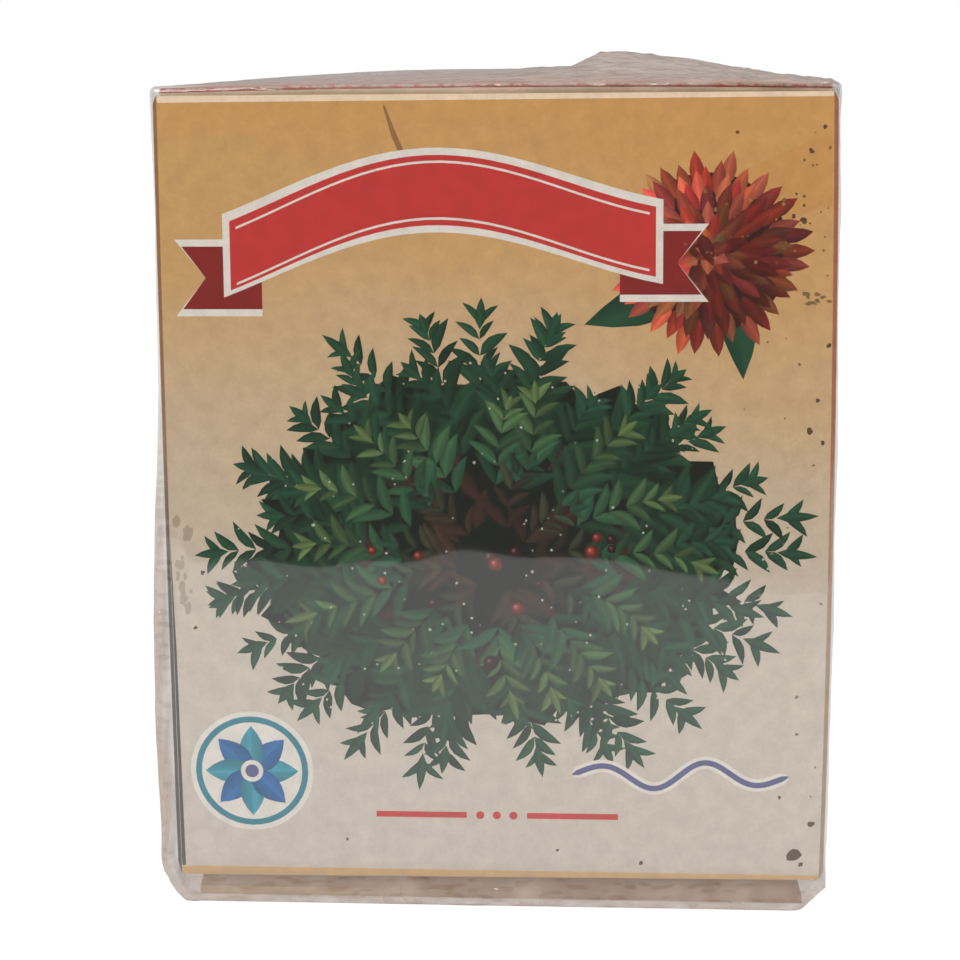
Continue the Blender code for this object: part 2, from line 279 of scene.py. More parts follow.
def apply_modifiers(item):
    make_active(item)
    for modifier in list(item.modifiers):
        bpy.ops.object.modifier_apply(modifier=modifier.name)


def clamp(value, low, high):
    return min(max(value, low), high)


def ease(value):
    value = clamp(value, 0.0, 1.0)
    return value * value * (3.0 - 2.0 * value)


def spread(low, high, steps):
    return [low + (high - low) * index / steps for index in range(steps + 1)]


def circle(steps):
    return [math.tau * index / steps for index in range(steps)]


def blend(first, second, share):
    return [start + (end - start) * share for start, end in zip(first, second)]


def bow(spot):
    """Move a point of the board or the film with the bowed walls."""
    reach = bpy.context.scene.wrapped_carton.side_bow
    rise = (spot.z - PANEL_BASE) / PANEL_HEIGHT
    level = max(1.0 - (2.0 * rise - 1.0) ** 2, 0.0)
    across = clamp(spot.x / HALF_WIDTH, -BOW_LIMIT, BOW_LIMIT)
    along = clamp(spot.y / HALF_DEPTH, -BOW_LIMIT, BOW_LIMIT)
    side = reach * level * across ** 3 * (RIGHT_BOW if across > 0 else LEFT_BOW)
    front = reach * FRONT_BOW * level * along ** 3 * (1.0 - 0.8 * across ** 2)
    return Vector((spot.x + side, spot.y + front, spot.z))


class Sheet:
    """Flat inks of one carton panel in millimetres. A later shape covers the earlier ones."""

    def __init__(self):
        self.shapes = []

    def add(self, outline, ink, tone=None, cover=1.0):
        """Keep one closed outline, turned so that its inside lies to the left."""
        outline = [Vector(point) for point in outline]
        turned = sum(first.cross(second) for first, second in zip(outline, outline[1:] + outline[:1]))
        if turned < 0:
            outline.reverse()
        self.shapes.append((outline, ink, tone, cover))

    def trim(self, columns, rows):
        """Leave out the shapes that run over the panel's border, where its neighbours have no points."""
        self.shapes = [shape for shape in self.shapes if all(
            columns[0] < point.x < columns[-1] and rows[0] < point.y < rows[-1] for point in shape[0])]

    def bar(self, left, low, right, high, ink):
        """A level rectangle."""
        self.add([(left, low), (right, low), (right, high), (left, high)], ink)

    def disc(self, centre, radius, ink, points=26):
        self.add([(centre[0] + radius * math.cos(turn), centre[1] + radius * math.sin(turn))
                  for turn in circle(points)], ink)

    def leaf(self, root, tip, width, ink, bend=0.0, glow=0.9, steps=6):
        """Two halves of a pointed leaf that are brightest along the midrib."""
        root = Vector(root)
        axis = Vector(tip) - root
        side = Vector((-axis.y, axis.x)).normalized()
        spine = []
        edges = {1.0: [], -1.0: []}
        for index in range(steps + 1):
            share = index / steps
            point = root + axis * share + side * (bend * axis.length * math.sin(math.pi * share))
            half = 0.0
            if 0 < index < steps:
                half = width * 0.5 * math.sin(math.pi * share ** LEAF_BELLY) ** LEAF_BLUNTNESS
            spine.append(point)
            for hand in edges:
                edges[hand].append(point + side * (half * hand))

        def tone(point):
            away = abs((point - root).dot(side) - bend * axis.length * 0.8)
            return 1.0 + glow * (1.0 - min(away / (width * 0.5), 1.0))

        for hand, shade in ((1.0, 1.0), (-1.0, LEAF_SHADE)):
            outline = spine + edges[hand][-2:0:-1]
            self.add(outline, tuple(part * shade for part in ink), tone)

    def stroke(self, points, width, ink):
        """A line of even width with tapered ends."""
        points = [Vector(point) for point in points]
        left, right = [], []
        last = len(points) - 1
        for index, point in enumerate(points):
            ahead = (points[min(index + 1, last)] - points[max(index - 1, 0)]).normalized()
            side = Vector((-ahead.y, ahead.x)) * width * 0.5
            taper = 0.35 if index in (0, last) else 1.0
            left.append(point + side * taper)
            right.append(point - side * taper)
        self.add(left + right[::-1], ink)

    def fleck(self, draw, centre, size, ink, cover=1.0, stretch=1.0):
        """A small ragged mark."""
        points = []
        for turn in circle(8):
            reach = size * draw.uniform(0.55, 1.25)
            points.append((centre[0] + reach * math.cos(turn) * stretch,
                           centre[1] + reach * math.sin(turn)))
        self.add(points, ink, None, cover)


def bough(sheet, draw, path, reach, ink, tip_ink, pairs):
    """A feathery bough with narrow leaves on both sides, smaller and lighter towards its tip."""
    last = len(path) - 1
    for index in range(pairs):
        share = (index + 0.4) / pairs
        spot = share * last
        low = min(int(spot), last - 1)
        point = path[low].lerp(path[low + 1], spot - low)
        ahead = (path[low + 1] - path[low]).normalized()
        base = blend(ink, tip_ink, share ** 1.5)
        for hand in (1, -1):
            lean = math.radians(draw.uniform(*BOUGH_LEAN)) * hand
            size = reach * (1.0 - BOUGH_TAPER * share) * draw.uniform(0.8, 1.2)
            heading = Matrix.Rotation(lean, 2) @ ahead
            bright = draw.uniform(*BOUGH_BRIGHTNESS)
            tint = tuple(part * bright for part in base)
            sheet.leaf(point, point + heading * size, size * draw.uniform(0.26, 0.34), tint,
                       bend=-0.08 * hand, steps=4)
    sheet.leaf(path[-2], path[-1] + (path[-1] - path[-2]), reach * 0.2, tip_ink, steps=4)


def curve_path(start, control, end, steps=14):
    start, control, end = Vector(start), Vector(control), Vector(end)
    return [start * (1 - share) ** 2 + control * 2 * share * (1 - share) + end * share ** 2
            for share in (index / steps for index in range(steps + 1))]


def bouquet_spot(turn, share):
    """A place in the bouquet's oval, which reaches higher than it hangs."""
    rise = BOUQUET_RISE if math.sin(turn) > 0 else BOUQUET_HANG
    return Vector((BOUQUET_WIDTH * share * math.cos(turn), BOUQUET_MIDDLE + rise * share * math.sin(turn)))


def any_turn(draw):
    return draw.uniform(0, math.tau)


def draw_dark_ground(sheet, draw):
    """The shaded heart of the bouquet."""
    sheet.add([bouquet_spot(turn, draw.uniform(0.74, 0.88)) for turn in circle(60)], LEAF_BLACK)
    for index in range(30):
        turn = any_turn(draw)
        root = bouquet_spot(turn, draw.uniform(0.1, 0.45))
        heading = Matrix.Rotation(turn + draw.uniform(-0.8, 0.8), 2) @ Vector((1.0, 0.0))
        sheet.leaf(root, root + heading * draw.uniform(5.0, 8.0), 2.2, HEART_BROWN, steps=4)


def draw_boughs(sheet, draw):
    """Rings of boughs that spread from the heart of the bouquet, the lighter ones in front."""
    rings = (
        (31, 0.50, 1.03, 6.6, LEAF_DEEP, LEAF_GREEN, 8),
        (21, 0.44, 0.86, 6.4, LEAF_DEEP, LEAF_GREEN, 7),
        (16, 0.30, 0.70, 5.8, LEAF_GREEN, LEAF_LIGHT, 6),
        (9, 0.12, 0.42, 5.0, HEART_BROWN, LEAF_GREEN, 5),
    )
    for boughs, inner, outer, reach, ink, tip_ink, pairs in rings:
        for index in range(boughs):
            turn = math.tau * (index + draw.uniform(-0.3, 0.3)) / boughs
            start = bouquet_spot(turn, inner)
            end = bouquet_spot(turn + draw.uniform(-0.12, 0.12), outer * draw.uniform(0.88, 1.06))
            end.x = clamp(end.x, -BOUQUET_LIMIT, BOUQUET_LIMIT)
            middle = (start + end) / 2 + Vector((draw.uniform(-2.5, 2.5), draw.uniform(0.0, 3.5)))
            bough(sheet, draw, curve_path(start, middle, end, 8), reach, ink, tip_ink, pairs)


def draw_berry(sheet, centre, radius, ink):
    """A round berry from rings that step up to its highlight."""
    for share in spread(0, 1, 3):
        middle = (centre[0] - radius * 0.26 * share, centre[1] + radius * 0.28 * share)
        tint = tuple(part * (0.45 + 1.5 * share ** 1.6) + 0.10 * share ** 5 for part in ink)
        sheet.disc(middle, radius * (1.0 - 0.80 * share), tint, 12)


def draw_berries(sheet, draw):
    for index in range(16):
        spot = bouquet_spot(any_turn(draw), draw.uniform(0.0, 0.5))
        draw_berry(sheet, spot, draw.uniform(0.5, 1.0), RUSSET if draw.random() < 0.5 else RUSSET_DARK)


def draw_sparks(sheet, draw):
    """Small light flecks all over the bouquet."""
    for index in range(120):
        spot = bouquet_spot(any_turn(draw), draw.uniform(0.1, 0.95))
        sheet.fleck(draw, spot, draw.uniform(0.08, 0.2), SPARK, draw.uniform(0.5, 1.0))


def draw_dahlia(sheet, draw, centre, radius):
    """A plain russet bloom of many pointed petals, with two leaves."""
    for tip, width in (((-15.5, -9.0), 6.0), ((4.5, -16.0), 5.4)):
        sheet.leaf(centre, Vector(centre) + Vector(tip), width, LEAF_GREEN, bend=0.08)
    sheet.disc(centre, radius * 0.8, RUSSET_DARK, 40)
    rings = ((1.00, 34), (0.86, 30), (0.71, 24), (0.56, 19), (0.41, 14), (0.27, 9), (0.14, 5))
    for order, (share, petals) in enumerate(rings):
        for index in range(petals):
            turn = math.tau * (index + 0.5 * (order % 2) + draw.uniform(-0.3, 0.3)) / petals
            heading = Vector((math.cos(turn), math.sin(turn)))
            tip = Vector(centre) + heading * radius * share * draw.uniform(0.92, 1.06)
            root = tip - heading * radius * 0.36
            light = max(0.35, 1.0 - 0.55 * (heading.x * 0.8 - heading.y * 0.6) - 0.1 * order)
            warm = RUSSET_LIGHT if draw.random() < 0.35 else RUSSET
            tint = tuple(part * light * draw.uniform(0.5, 1.25) for part in warm)
            sheet.leaf(root, tip, radius * 0.15, tint, steps=4)


def ribbon_edge(low, high, half):
    """Outline of a waved ribbon between two places across the panel."""
    upper, lower = [], []
    for share in spread(0, 1, 26):
        x = low + (high - low) * share
        middle = RIBBON_MIDDLE + RIBBON_WAVE * math.sin(math.tau * RIBBON_TURNS * share - 0.5)
        middle += RIBBON_LEAN * share
        upper.append((x, middle + half))
        lower.append((x, middle - half))
    return upper + lower[::-1]


def draw_ribbon(sheet):
    """A blank waved ribbon with forked ends."""
    for side, x, h in ((-1, -32.5, 79.0), (1, 19.0, 80.8)):
        for grow, ink in ((0.9, WHITE_INK), (0.0, RIBBON_DARK)):
            tip = x + side * (7.2 + grow)
            sheet.add([(x - side * 3.0, h + 4.0 + grow), (tip, h + 4.0 + grow), (x + side * 4.2, h),
                       (tip, h - 4.0 - grow), (x - side * 3.0, h - 4.0 - grow)], ink)
    sheet.add(ribbon_edge(-34.4, 21.4, 5.3), WHITE_INK)
    sheet.add(ribbon_edge(-33.5, 20.5, 4.4), RIBBON)
    sheet.add(ribbon_edge(-32.7, 19.7, 3.7), WHITE_INK)
    sheet.add(ribbon_edge(-32.7, 19.7, 3.4), RIBBON)


def draw_flower(sheet, centre):
    """A plain teal flower in a white ring."""
    for radius, ink in ((8.2, WHITE_INK), (7.5, TEAL), (6.7, WHITE_INK)):
        sheet.disc(centre, radius, ink, 40)
    for index, turn in enumerate(circle(8)):
        tip = (centre[0] + 6.2 * math.cos(turn), centre[1] + 6.2 * math.sin(turn))
        sheet.leaf(centre, tip, 3.4, BLUE if index % 2 else TEAL, glow=0.6)
    sheet.disc(centre, 1.5, WHITE_INK)
    sheet.disc(centre, 0.9, SLATE)


def draw_scroll(sheet, low, high, height):
    """A slate scroll line with a white edge."""
    points = []
    for index in range(40):
        share = index / 39
        swell = 0.4 + 0.6 * math.sin(math.pi * share)
        points.append((low + (high - low) * share, height + 1.9 * math.sin(math.tau * 2.0 * share) * swell))
    sheet.stroke(points, 1.7, WHITE_INK)
    sheet.stroke(points, 0.75, SLATE)


def draw_rules(sheet):
    """Two short red rules with three dots between them."""
    for left, right in ((-16.0, -4.0), (4.0, 16.0)):
        sheet.bar(left, 7.4, right, 8.2, RIBBON)
    for x in (-2.2, 0.0, 2.2):
        sheet.disc((x, 7.8), 0.55, RIBBON, 14)


def draw_border(sheet):
    """The gold lip, the cream upper edge with its painted highlight, and a painted shade line in dark grey
    along the left edge.
    """
    reach = HALF_MM - 0.65
    sheet.bar(-reach, -0.97, reach, 0.12, GOLD)
    # Painted highlight in cream along the top edge of the front.
    sheet.add([(-reach, 101.1), (reach, 101.35), (reach, 101.95), (-reach, 101.95)], CREAM_HIGHLIGHT)
    # Painted shade: a dark grey line along the lower left edge, where a shadowed gap lies.
    sheet.add([(-reach, 0.2), (-reach + 0.5, 0.2), (-reach + 0.35, 30.0), (-reach, 46.0)], SHADE_GREY)


def draw_wear(sheet, draw):
    """Specks and a tear, mostly along the right edge, and a faint brown patch by the left edge."""
    specks = (
        (41.3, 97.6, 0.30), (39.6, 94.6, 0.38), (34.8, 89.0, 0.30), (37.5, 86.6, 0.34), (38.7, 86.0, 0.4),
        (37.0, 77.4, 0.30), (42.0, 70.3, 0.35), (40.7, 63.4, 0.3), (39.8, 59.4, 0.45), (41.4, 57.9, 0.3),
        (38.9, 2.9, 1.0), (40.0, 1.6, 0.42), (41.2, 7.2, 0.5), (19.0, 1.5, 0.35), (37.0, 10.8, 0.3),
        (-20.0, 4.2, 0.22), (8.0, 3.1, 0.25), (30.5, 97.0, 0.24), (-38.2, 40.5, 0.35), (-39.4, 33.0, 0.3))
    for x, h, size in specks:
        sheet.fleck(draw, (x, h), size, DIRT)
    for index in range(26):
        spot = (draw.uniform(31.0, 42.0), draw.uniform(2.0, 99.0))
        sheet.fleck(draw, spot, draw.uniform(0.12, 0.26), DIRT, 0.8)
    for index in range(34):
        spot = (draw.uniform(24.0, 42.0), draw.uniform(80.0, 90.0))
        sheet.fleck(draw, spot, draw.uniform(0.10, 0.26), DIRT, draw.uniform(0.5, 1.0))
    for index in range(10):
        spot = (draw.uniform(38.6, 42.0), 76.3 + draw.uniform(-0.7, 0.7))
        sheet.fleck(draw, spot, draw.uniform(0.20, 0.40), DIRT, 0.75, 1.6)
    for index in range(16):
        spot = (draw.uniform(-41.6, -39.5), draw.uniform(33.0, 48.0))
        sheet.fleck(draw, spot, draw.uniform(0.4, 1.0), DIRT, 0.35, 0.6)


def draw_ground_tones(sheet):
    """Broad warmer fields and one crease in the print's upper ground."""
    sheet.add([(12.0, 84.0), (22.0, 88.5), (33.0, 93.0), (42.2, 97.0), (42.2, 88.0), (30.0, 84.0),
               (14.0, 80.0)], WARM_FIELD, None, 0.35)
    sheet.add([(-42.2, 96.5), (-33.0, 97.5), (-20.0, 92.0), (-16.0, 84.0), (-30.0, 78.0), (-42.2, 76.0)],
              TAN_FIELD, None, 0.35)
    sheet.stroke([(-13.6, 100.6), (-12.4, 97.0), (-10.8, 93.2), (-9.4, 89.4)], 0.7, CREASE_BROWN)


def front_print():
    draw = random.Random(bpy.context.scene.wrapped_carton.seed)
    sheet = Sheet()
    draw_ground_tones(sheet)
    draw_dark_ground(sheet, draw)
    draw_boughs(sheet, draw)
    draw_berries(sheet, draw)
    draw_sparks(sheet, draw)
    draw_dahlia(sheet, draw, DAHLIA_PLACE, DAHLIA_RADIUS)
    draw_ribbon(sheet)
    draw_flower(sheet, FLOWER_PLACE)
    draw_scroll(sheet, 10.0, 38.0, 13.6)
    draw_rules(sheet)
    draw_border(sheet)
    draw_wear(sheet, draw)
    return sheet


def sprig_print(seed, half_width, height):
    """A small sprig between two rules, for a side or the back."""
    draw = random.Random(seed)
    sheet = Sheet()
    middle = height * 0.52
    stems = (
        ((-half_width * 0.5, middle + 24), (-2, middle + 8)),
        ((half_width * 0.5, middle + 22), (3, middle + 6)),
        ((0, middle + 32), (1, middle + 10)))
    for tip, bend in stems:
        path = curve_path((0, middle - 18), bend, tip)
        bough(sheet, draw, path, 7.5, LEAF_DEEP, LEAF_GREEN, 11)
    for index in range(5):
        spot = (draw.uniform(-5, 5), middle + draw.uniform(-6, 6))
        draw_berry(sheet, spot, draw.uniform(1.0, 1.7), RUSSET)
    for low in (9.0, height - 9.0):
        sheet.bar(-half_width + 5, low, half_width - 5, low + 0.8, RIBBON)
    reach = half_width - 0.2
    sheet.bar(-reach, 0.9, reach, 1.7, GOLD)
    return sheet


def band_print(half_width, near, far, ink):
    """One flat colour with a thin dark line along the near edge."""
    sheet = Sheet()
    reach = half_width - 0.15
    sheet.bar(-reach, near + 0.15, reach, far - 0.15, ink)
    sheet.bar(-reach, near + 0.6, reach, near + 1.2, RIBBON_DARK)
    return sheet


def snap(value, lines):
    for line in lines:
        if abs(value - line) < SNAP_MM:
            return line
    return value


def area(points):
    return abs(sum(first.cross(second) for first, second in zip(points, points[1:] + points[:1]))) / 2


def leaked_shapes(spots, faces, owners, sheet):
    """Find the shapes that cover far more than their outline holds, which the panel then leaves out."""
    covered = [0.0] * (len(sheet.shapes) + 1)
    for corners, owner in zip(faces, owners):
        size = area([spots[corner] for corner in corners])
        for shape in owner:
            covered[shape] += size
    return {index + 1 for index, shape in enumerate(sheet.shapes)
            if covered[index + 1] > 1.0 + 2.0 * area(shape[0])}


class Board:
    """A closed carton blank: an outer printed skin, an inner skin and the cut edges between them."""

    def __init__(self):
        self.mesh = bmesh.new()
        # The ink colours also hold painted highlight and painted shade on some folds and flaps.
        self.ink = self.mesh.loops.layers.float_color.new("ink")
        self.fold = self.mesh.verts.layers.float.new("fold")
        self.skins = ({}, {})
        self.under = {}
        self.thickness = bpy.context.scene.wrapped_carton.board

    def vertex(self, skin, spot, key, fold):
        store = self.skins[skin]
        if key not in store:
            store[key] = self.mesh.verts.new(spot)
            store[key][self.fold] = fold
        return store[key]

    def outer(self, place, column, row, fold=0.0):
        """The outer vertex of one point of the blank, and the key that it shares with the inner one."""
        spot = bow(Vector(place(column, row, 0.0)))
        key = tuple(round(part * KEYS_PER_METRE) for part in spot)
        return self.vertex(0, spot, key, fold), key

    def pair(self, place, column, row, fold=0.0):
        """The outer and the inner vertex of one point of the blank."""
        top, key = self.outer(place, column, row, fold)
        inner = self.vertex(1, bow(Vector(place(column, row, self.thickness))), key, 0.0)
        self.under[top] = inner
        return top, inner

    def face(self, verts, material, inks=None):
        """Add a face, or a smaller one where some of its corners meet."""
        kept = [index for index in range(len(verts)) if verts[index] is not verts[index - 1]]
        if len(kept) < 3:
            return
        made = self.mesh.faces.new([verts[index] for index in kept])
        made.material_index = material
        for index, loop in zip(kept, made.loops):
            loop[self.ink] = inks[index] if inks else (0.0, 0.0, 0.0, 0.0)

    def patch(self, columns, rows, place, fold=None, ink=None):
        """A plain grid of board. fold and ink take a column and a row."""
        grid = []
        for r in rows:
            grid.append([(*self.pair(place, c, r, fold(c, r) if fold else 0.0), (c, r)) for c in columns])
        for lower, upper in zip(grid, grid[1:]):
            for index in range(len(columns) - 1):
                ring = (lower[index], lower[index + 1], upper[index + 1], upper[index])
                inks = [ink(*point[2]) for point in ring] if ink else None
                self.face([point[0] for point in ring], 0, inks)
                self.face([point[1] for point in ring[::-1]], 1)

    def printed(self, columns, rows, place, sheet):
        """A panel whose outer skin is cut along the outlines of its print."""
        for lower, upper in zip(rows, rows[1:]):
            for left, right in zip(columns, columns[1:]):
                corners = ((left, lower), (right, lower), (right, upper), (left, upper))
                ring = [self.pair(place, *corner)[1] for corner in corners]
                self.face(ring[::-1], 1)
        sheet.trim(columns, rows)
        points = [Vector((c, r)) for r in rows for c in columns]
        wide = len(columns)
        edges = [(i, i + 1) for i in range(len(points)) if (i + 1) % wide]
        edges += [(i, i + wide) for i in range(len(points) - wide)]
        outlines = [[0, wide - 1, len(points) - 1, len(points) - wide]]
        for outline, *_ in sheet.shapes:
            outlines.append(list(range(len(points), len(points) + len(outline))))
            points += outline
        found = geometry.delaunay_2d_cdt(points, edges, outlines, 1, SNAP_MM)
        spots, faces, owners = found[0], found[2], found[5]
        leaked = leaked_shapes(spots, faces, owners, sheet)
        spots = [Vector((snap(p.x, columns), snap(p.y, rows))) for p in spots]
        for corners, owner in zip(faces, owners):
            if 0 not in owner:
                continue
            verts = [self.outer(place, *spots[corner])[0] for corner in corners]
            if len(set(verts)) < 3:
                continue
            top = max(shape for shape in owner if shape not in leaked)
            inks = None
            if top > 0:
                inks = [self.shade(*sheet.shapes[top - 1][1:], spots[corner]) for corner in corners]
            self.face(verts, 0, inks)

    @staticmethod
    def shade(ink, tone, cover, spot):
        light = tone(spot) if tone else 1.0
        return (*[min(part * light, 1.0) for part in ink], cover)

    def close(self):
        """Join the two skins along every cut edge."""
        for edge in [edge for edge in self.mesh.edges if edge.is_boundary]:
            first, second = edge.verts
            if first in self.under and second in self.under:
                ring = (first, second, self.under[second], self.under[first])
                if self.mesh.faces.get(ring) is None:
                    self.face(ring, 2)
        bmesh.ops.recalc_face_normals(self.mesh, faces=self.mesh.faces)


QUARTER = spread(0.0, math.pi / 2, 4)


def hinge_line():
    """The line along the back wall from which both closures are folded."""
    return HALF_DEPTH - bpy.context.scene.wrapped_carton.fold_radius


def top_height(x, y):
    """Outer height of the bowed top closure, which lifts towards its tuck fold."""
    across = min(abs(x) / HALF_WIDTH, 1.0)
    along = clamp((hinge_line() - y) / (2 * HALF_DEPTH), 0.0, 1.0)
    return PANEL_TOP + TOP_POP * along + TOP_BOW * (1.0 - across ** 2.2) * math.sin(math.pi * along) ** 0.8


def base_height(y):
    """Outer height of the bottom closure, which hangs below its hinge on the back wall."""
    drop = 1.0 - ease((hinge_line() - y) / BASE_DROP_RUN)
    return BASE_LEVEL + (PANEL_BASE - BASE_LEVEL) * drop


def foot(x):
    """How far the front's gold lip hangs below its panel: more on the left."""
    return FOOT_REACH - FOOT_SLOPE * x / HALF_WIDTH


def crease(column, angle):
    """Wear of a fold, which is strongest along its middle."""
    return math.sin(2 * angle)


def add_walls(board, radius, wall_rows, wide, hinge, deep):
    """The four walls, their upright folds and the glue lap."""
    rows_mm = [(row - PANEL_BASE) / MM for row in wall_rows]
    front_rows = [-1.0, 0.0, *rows_mm, PANEL_MM]
    back_rows = [radius / MM, *rows_mm, PANEL_MM - radius / MM]
    wide_mm = [x / MM for x in wide]
    hinge_mm = [x / MM for x in hinge if abs(x) < HALF_WIDTH - radius - NEARLY]
    back_mm = [-HALF_MM, *hinge_mm, wide_mm[-1]]
    deep_mm = [y / MM for y in deep]
    side_reach = (HALF_DEPTH - radius) / MM
    lap_y = HALF_DEPTH - board.thickness - SEAM_GAP

    def front(x, h, d):
        return (x * MM, -HALF_DEPTH + d, PANEL_BASE + (h * MM if h > 0 else h * foot(x * MM)))

    def back(x, h, d):
        return (x * MM, HALF_DEPTH - d, PANEL_BASE + h * MM)

    def right(y, h, d):
        return (HALF_WIDTH - d, y * MM, PANEL_BASE + h * MM)

    def left(y, h, d):
        return (-HALF_WIDTH + d, y * MM, PANEL_BASE + h * MM)

    board.printed(wide_mm, front_rows, front, front_print())
    board.printed(back_mm, back_rows, back, sprig_print(8, HALF_MM - 1.0, PANEL_MM))
    board.printed(deep_mm, rows_mm, right, sprig_print(3, side_reach, PANEL_MM))
    board.printed([*deep_mm[:-1], (lap_y - radius) / MM], rows_mm, left, sprig_print(4, side_reach, PANEL_MM))
    x, y = HALF_WIDTH - radius, HALF_DEPTH - radius
    add_corner(board, radius, wall_rows, (x, -y), -90, 0, (0, 1), (EDGE_RUST, EDGE_TAN))
    add_corner(board, radius, wall_rows, (x, y), 0, radius, (1, 0), None)
    add_corner(board, radius, wall_rows, (-x, lap_y - radius), 90, None, (0, 1), None)
    # Painted shade on the front left fold: dark brown above and dark grey below.
    add_corner(board, radius, wall_rows, (-x, -y), 180, 0, (1, 0), (SHADE_BROWN, SHADE_GREY))
    middle = (wall_rows[0] + wall_rows[-1]) / 2

    def lap(share, row, depth):
        taper = 0.0
        if row in (wall_rows[0], wall_rows[-1]):
            taper = math.copysign(SEAM_TAPER, middle - row) * share
        return (-HALF_WIDTH + radius + (SEAM_LAP - radius) * share, lap_y - depth, row + taper)

    board.patch([0.0, 1.0], wall_rows, lap)


def add_corner(board, radius, wall_rows, centre, start, lip, sides, edge_colours):
    """An upright fold, whose ends run from the tall wall down to the shorter side wall."""
    start = math.radians(start)
    wear = 0.3 if edge_colours else 0.7
    rows = wall_rows
    ends = {}
    if lip is not None:
        rows = [PANEL_BASE + lip, *wall_rows, PANEL_TOP - lip]
        ends = {rows[0]: rows[1], rows[-1]: rows[-2]}
    if lip == 0:
        rows.insert(0, PANEL_BASE - foot(centre[0]))
        ends[rows[0]] = wall_rows[0]

    def place(angle, row, depth):
        share = sides[0] + (sides[1] - sides[0]) * angle / (math.pi / 2)
        level = row + (ends.get(row, row) - row) * share
        reach = radius - depth
        turn = start + angle
        return (centre[0] + reach * math.cos(turn), centre[1] + reach * math.sin(turn), level)

    # The edge colours tint the fold; those of the front left fold are painted shade.
    def ink(angle, row):
        upper, lower = edge_colours
        share = ease(((row - PANEL_BASE) / PANEL_HEIGHT - 0.35) / 0.3)
        return (*blend(lower, upper, share), 0.95)

    board.patch(QUARTER, rows, place, lambda angle, row: wear * math.sin(2 * angle),
                ink if edge_colours else None)


def tuck_place(columns, fold, level, turn, radius, reach):
    """Places on a tuck flap, which runs up or down from a closure's front fold and narrows."""
    half = max(columns)

    def place(x, share, d):
        narrow = 1.0 - ease(share) * TUCK_TAPER / half
        return (x * narrow, fold + d, level(x) + turn * radius + turn * (reach - radius) * share)

    return place


def add_top_closure(board, radius, columns):
    back = hinge_line()
    fold = -HALF_DEPTH + TOP_TUCK_SETBACK

    def hinge(x, a, d):
        return (x, back + (radius - d) * math.cos(a), PANEL_TOP - radius + (radius - d) * math.sin(a))

    def panel(x, y, d):
        return (x * MM, y * MM, top_height(x * MM, y * MM) - d)

    def edge_level(x):
        return top_height(x, fold + radius)

    def over(x, a, d):
        return (x, fold + radius - (radius - d) * math.sin(a),
                edge_level(x) - radius + (radius - d) * math.cos(a))

    board.patch(columns, QUARTER, hinge, crease, lambda x, a: (*TOP_PINK, 1.0))
    rows = spread(back / MM, (fold + radius) / MM, TOP_CUTS)
    sheet = band_print(columns[-1] / MM, rows[-1], rows[0], TOP_PINK)
    board.printed([x / MM for x in columns], rows[::-1], panel, sheet)
    board.patch(columns, QUARTER, over, crease, lambda x, a: (*EDGE_RED, 1.0))
    tuck = tuck_place(columns, fold, edge_level, -1, radius, TOP_TUCK_LENGTH)
    # Painted highlight in cream on the upper part of the top tuck flap.
    board.patch(columns, [0.0, 0.1], tuck, None, lambda x, share: (*CREAM_HIGHLIGHT, 1.0))
    board.patch(columns, [0.1, 0.3, 0.6, 0.85, 1.0], tuck)


def strip_print_and_shade(x, row):
    """The olive printed strip along the bottom closure's fold, which fades to the right into painted shade in
    dark brown.
    """
    share = ease((x / HALF_WIDTH + 0.9) / 1.1)
    return (*blend(OLIVE, SHADE_BROWN, share), 1.0)


def add_base_closure(board, radius, columns):
    back = hinge_line()
    fold = -HALF_DEPTH + BASE_TUCK_SETBACK

    def hinge(x, a, d):
        return (x, back + (radius - d) * math.cos(a), PANEL_BASE + radius - (radius - d) * math.sin(a))

    def over(x, a, d):
        return (x, fold + radius - (radius - d) * math.sin(a),
                BASE_LEVEL + radius - (radius - d) * math.cos(a))

    board.patch(columns, QUARTER, hinge, crease)
    board.patch(columns, spread(back, fold + radius, BASE_CUTS), lambda x, y, d: (x, y, base_height(y) + d))
    board.patch(columns, QUARTER, over, lambda x, a: 0.4 * math.sin(2 * a), strip_print_and_shade)
    tuck = tuck_place(columns, fold, lambda x: BASE_LEVEL, 1, radius, BASE_TUCK_LENGTH)
    # The bottom tuck flap: the olive print at its fold fades into painted shade, and the rest is painted
    # shade in dark brown.
    board.patch(columns, [0.0, 0.06], tuck, None, strip_print_and_shade)
    board.patch(columns, [0.06, 0.3, 0.6, 0.85, 1.0], tuck, None, lambda x, share: (*SHADE_BROWN, 1.0))


def add_dust_flap(board, radius, hinge, side, level, turn):
    """One short flap that is folded in from a side wall."""
    middle = (hinge[0] + hinge[-1]) / 2

    def over(y, a, d):
        reach = radius - d
        return (side * (HALF_WIDTH - radius + reach * math.cos(a)), y, level + turn * reach * math.sin(a))

    def flap(y, share, d):
        narrowed = y - (y - middle) * share * DUST_TAPER / (hinge[-1] - middle)
        return (side * (HALF_WIDTH - radius - (DUST_LENGTH - radius) * share), narrowed,
                level + turn * (radius - d))

    board.patch(hinge, QUARTER, over, crease)
    board.patch(hinge, [0.0, 0.5, 1.0], flap)


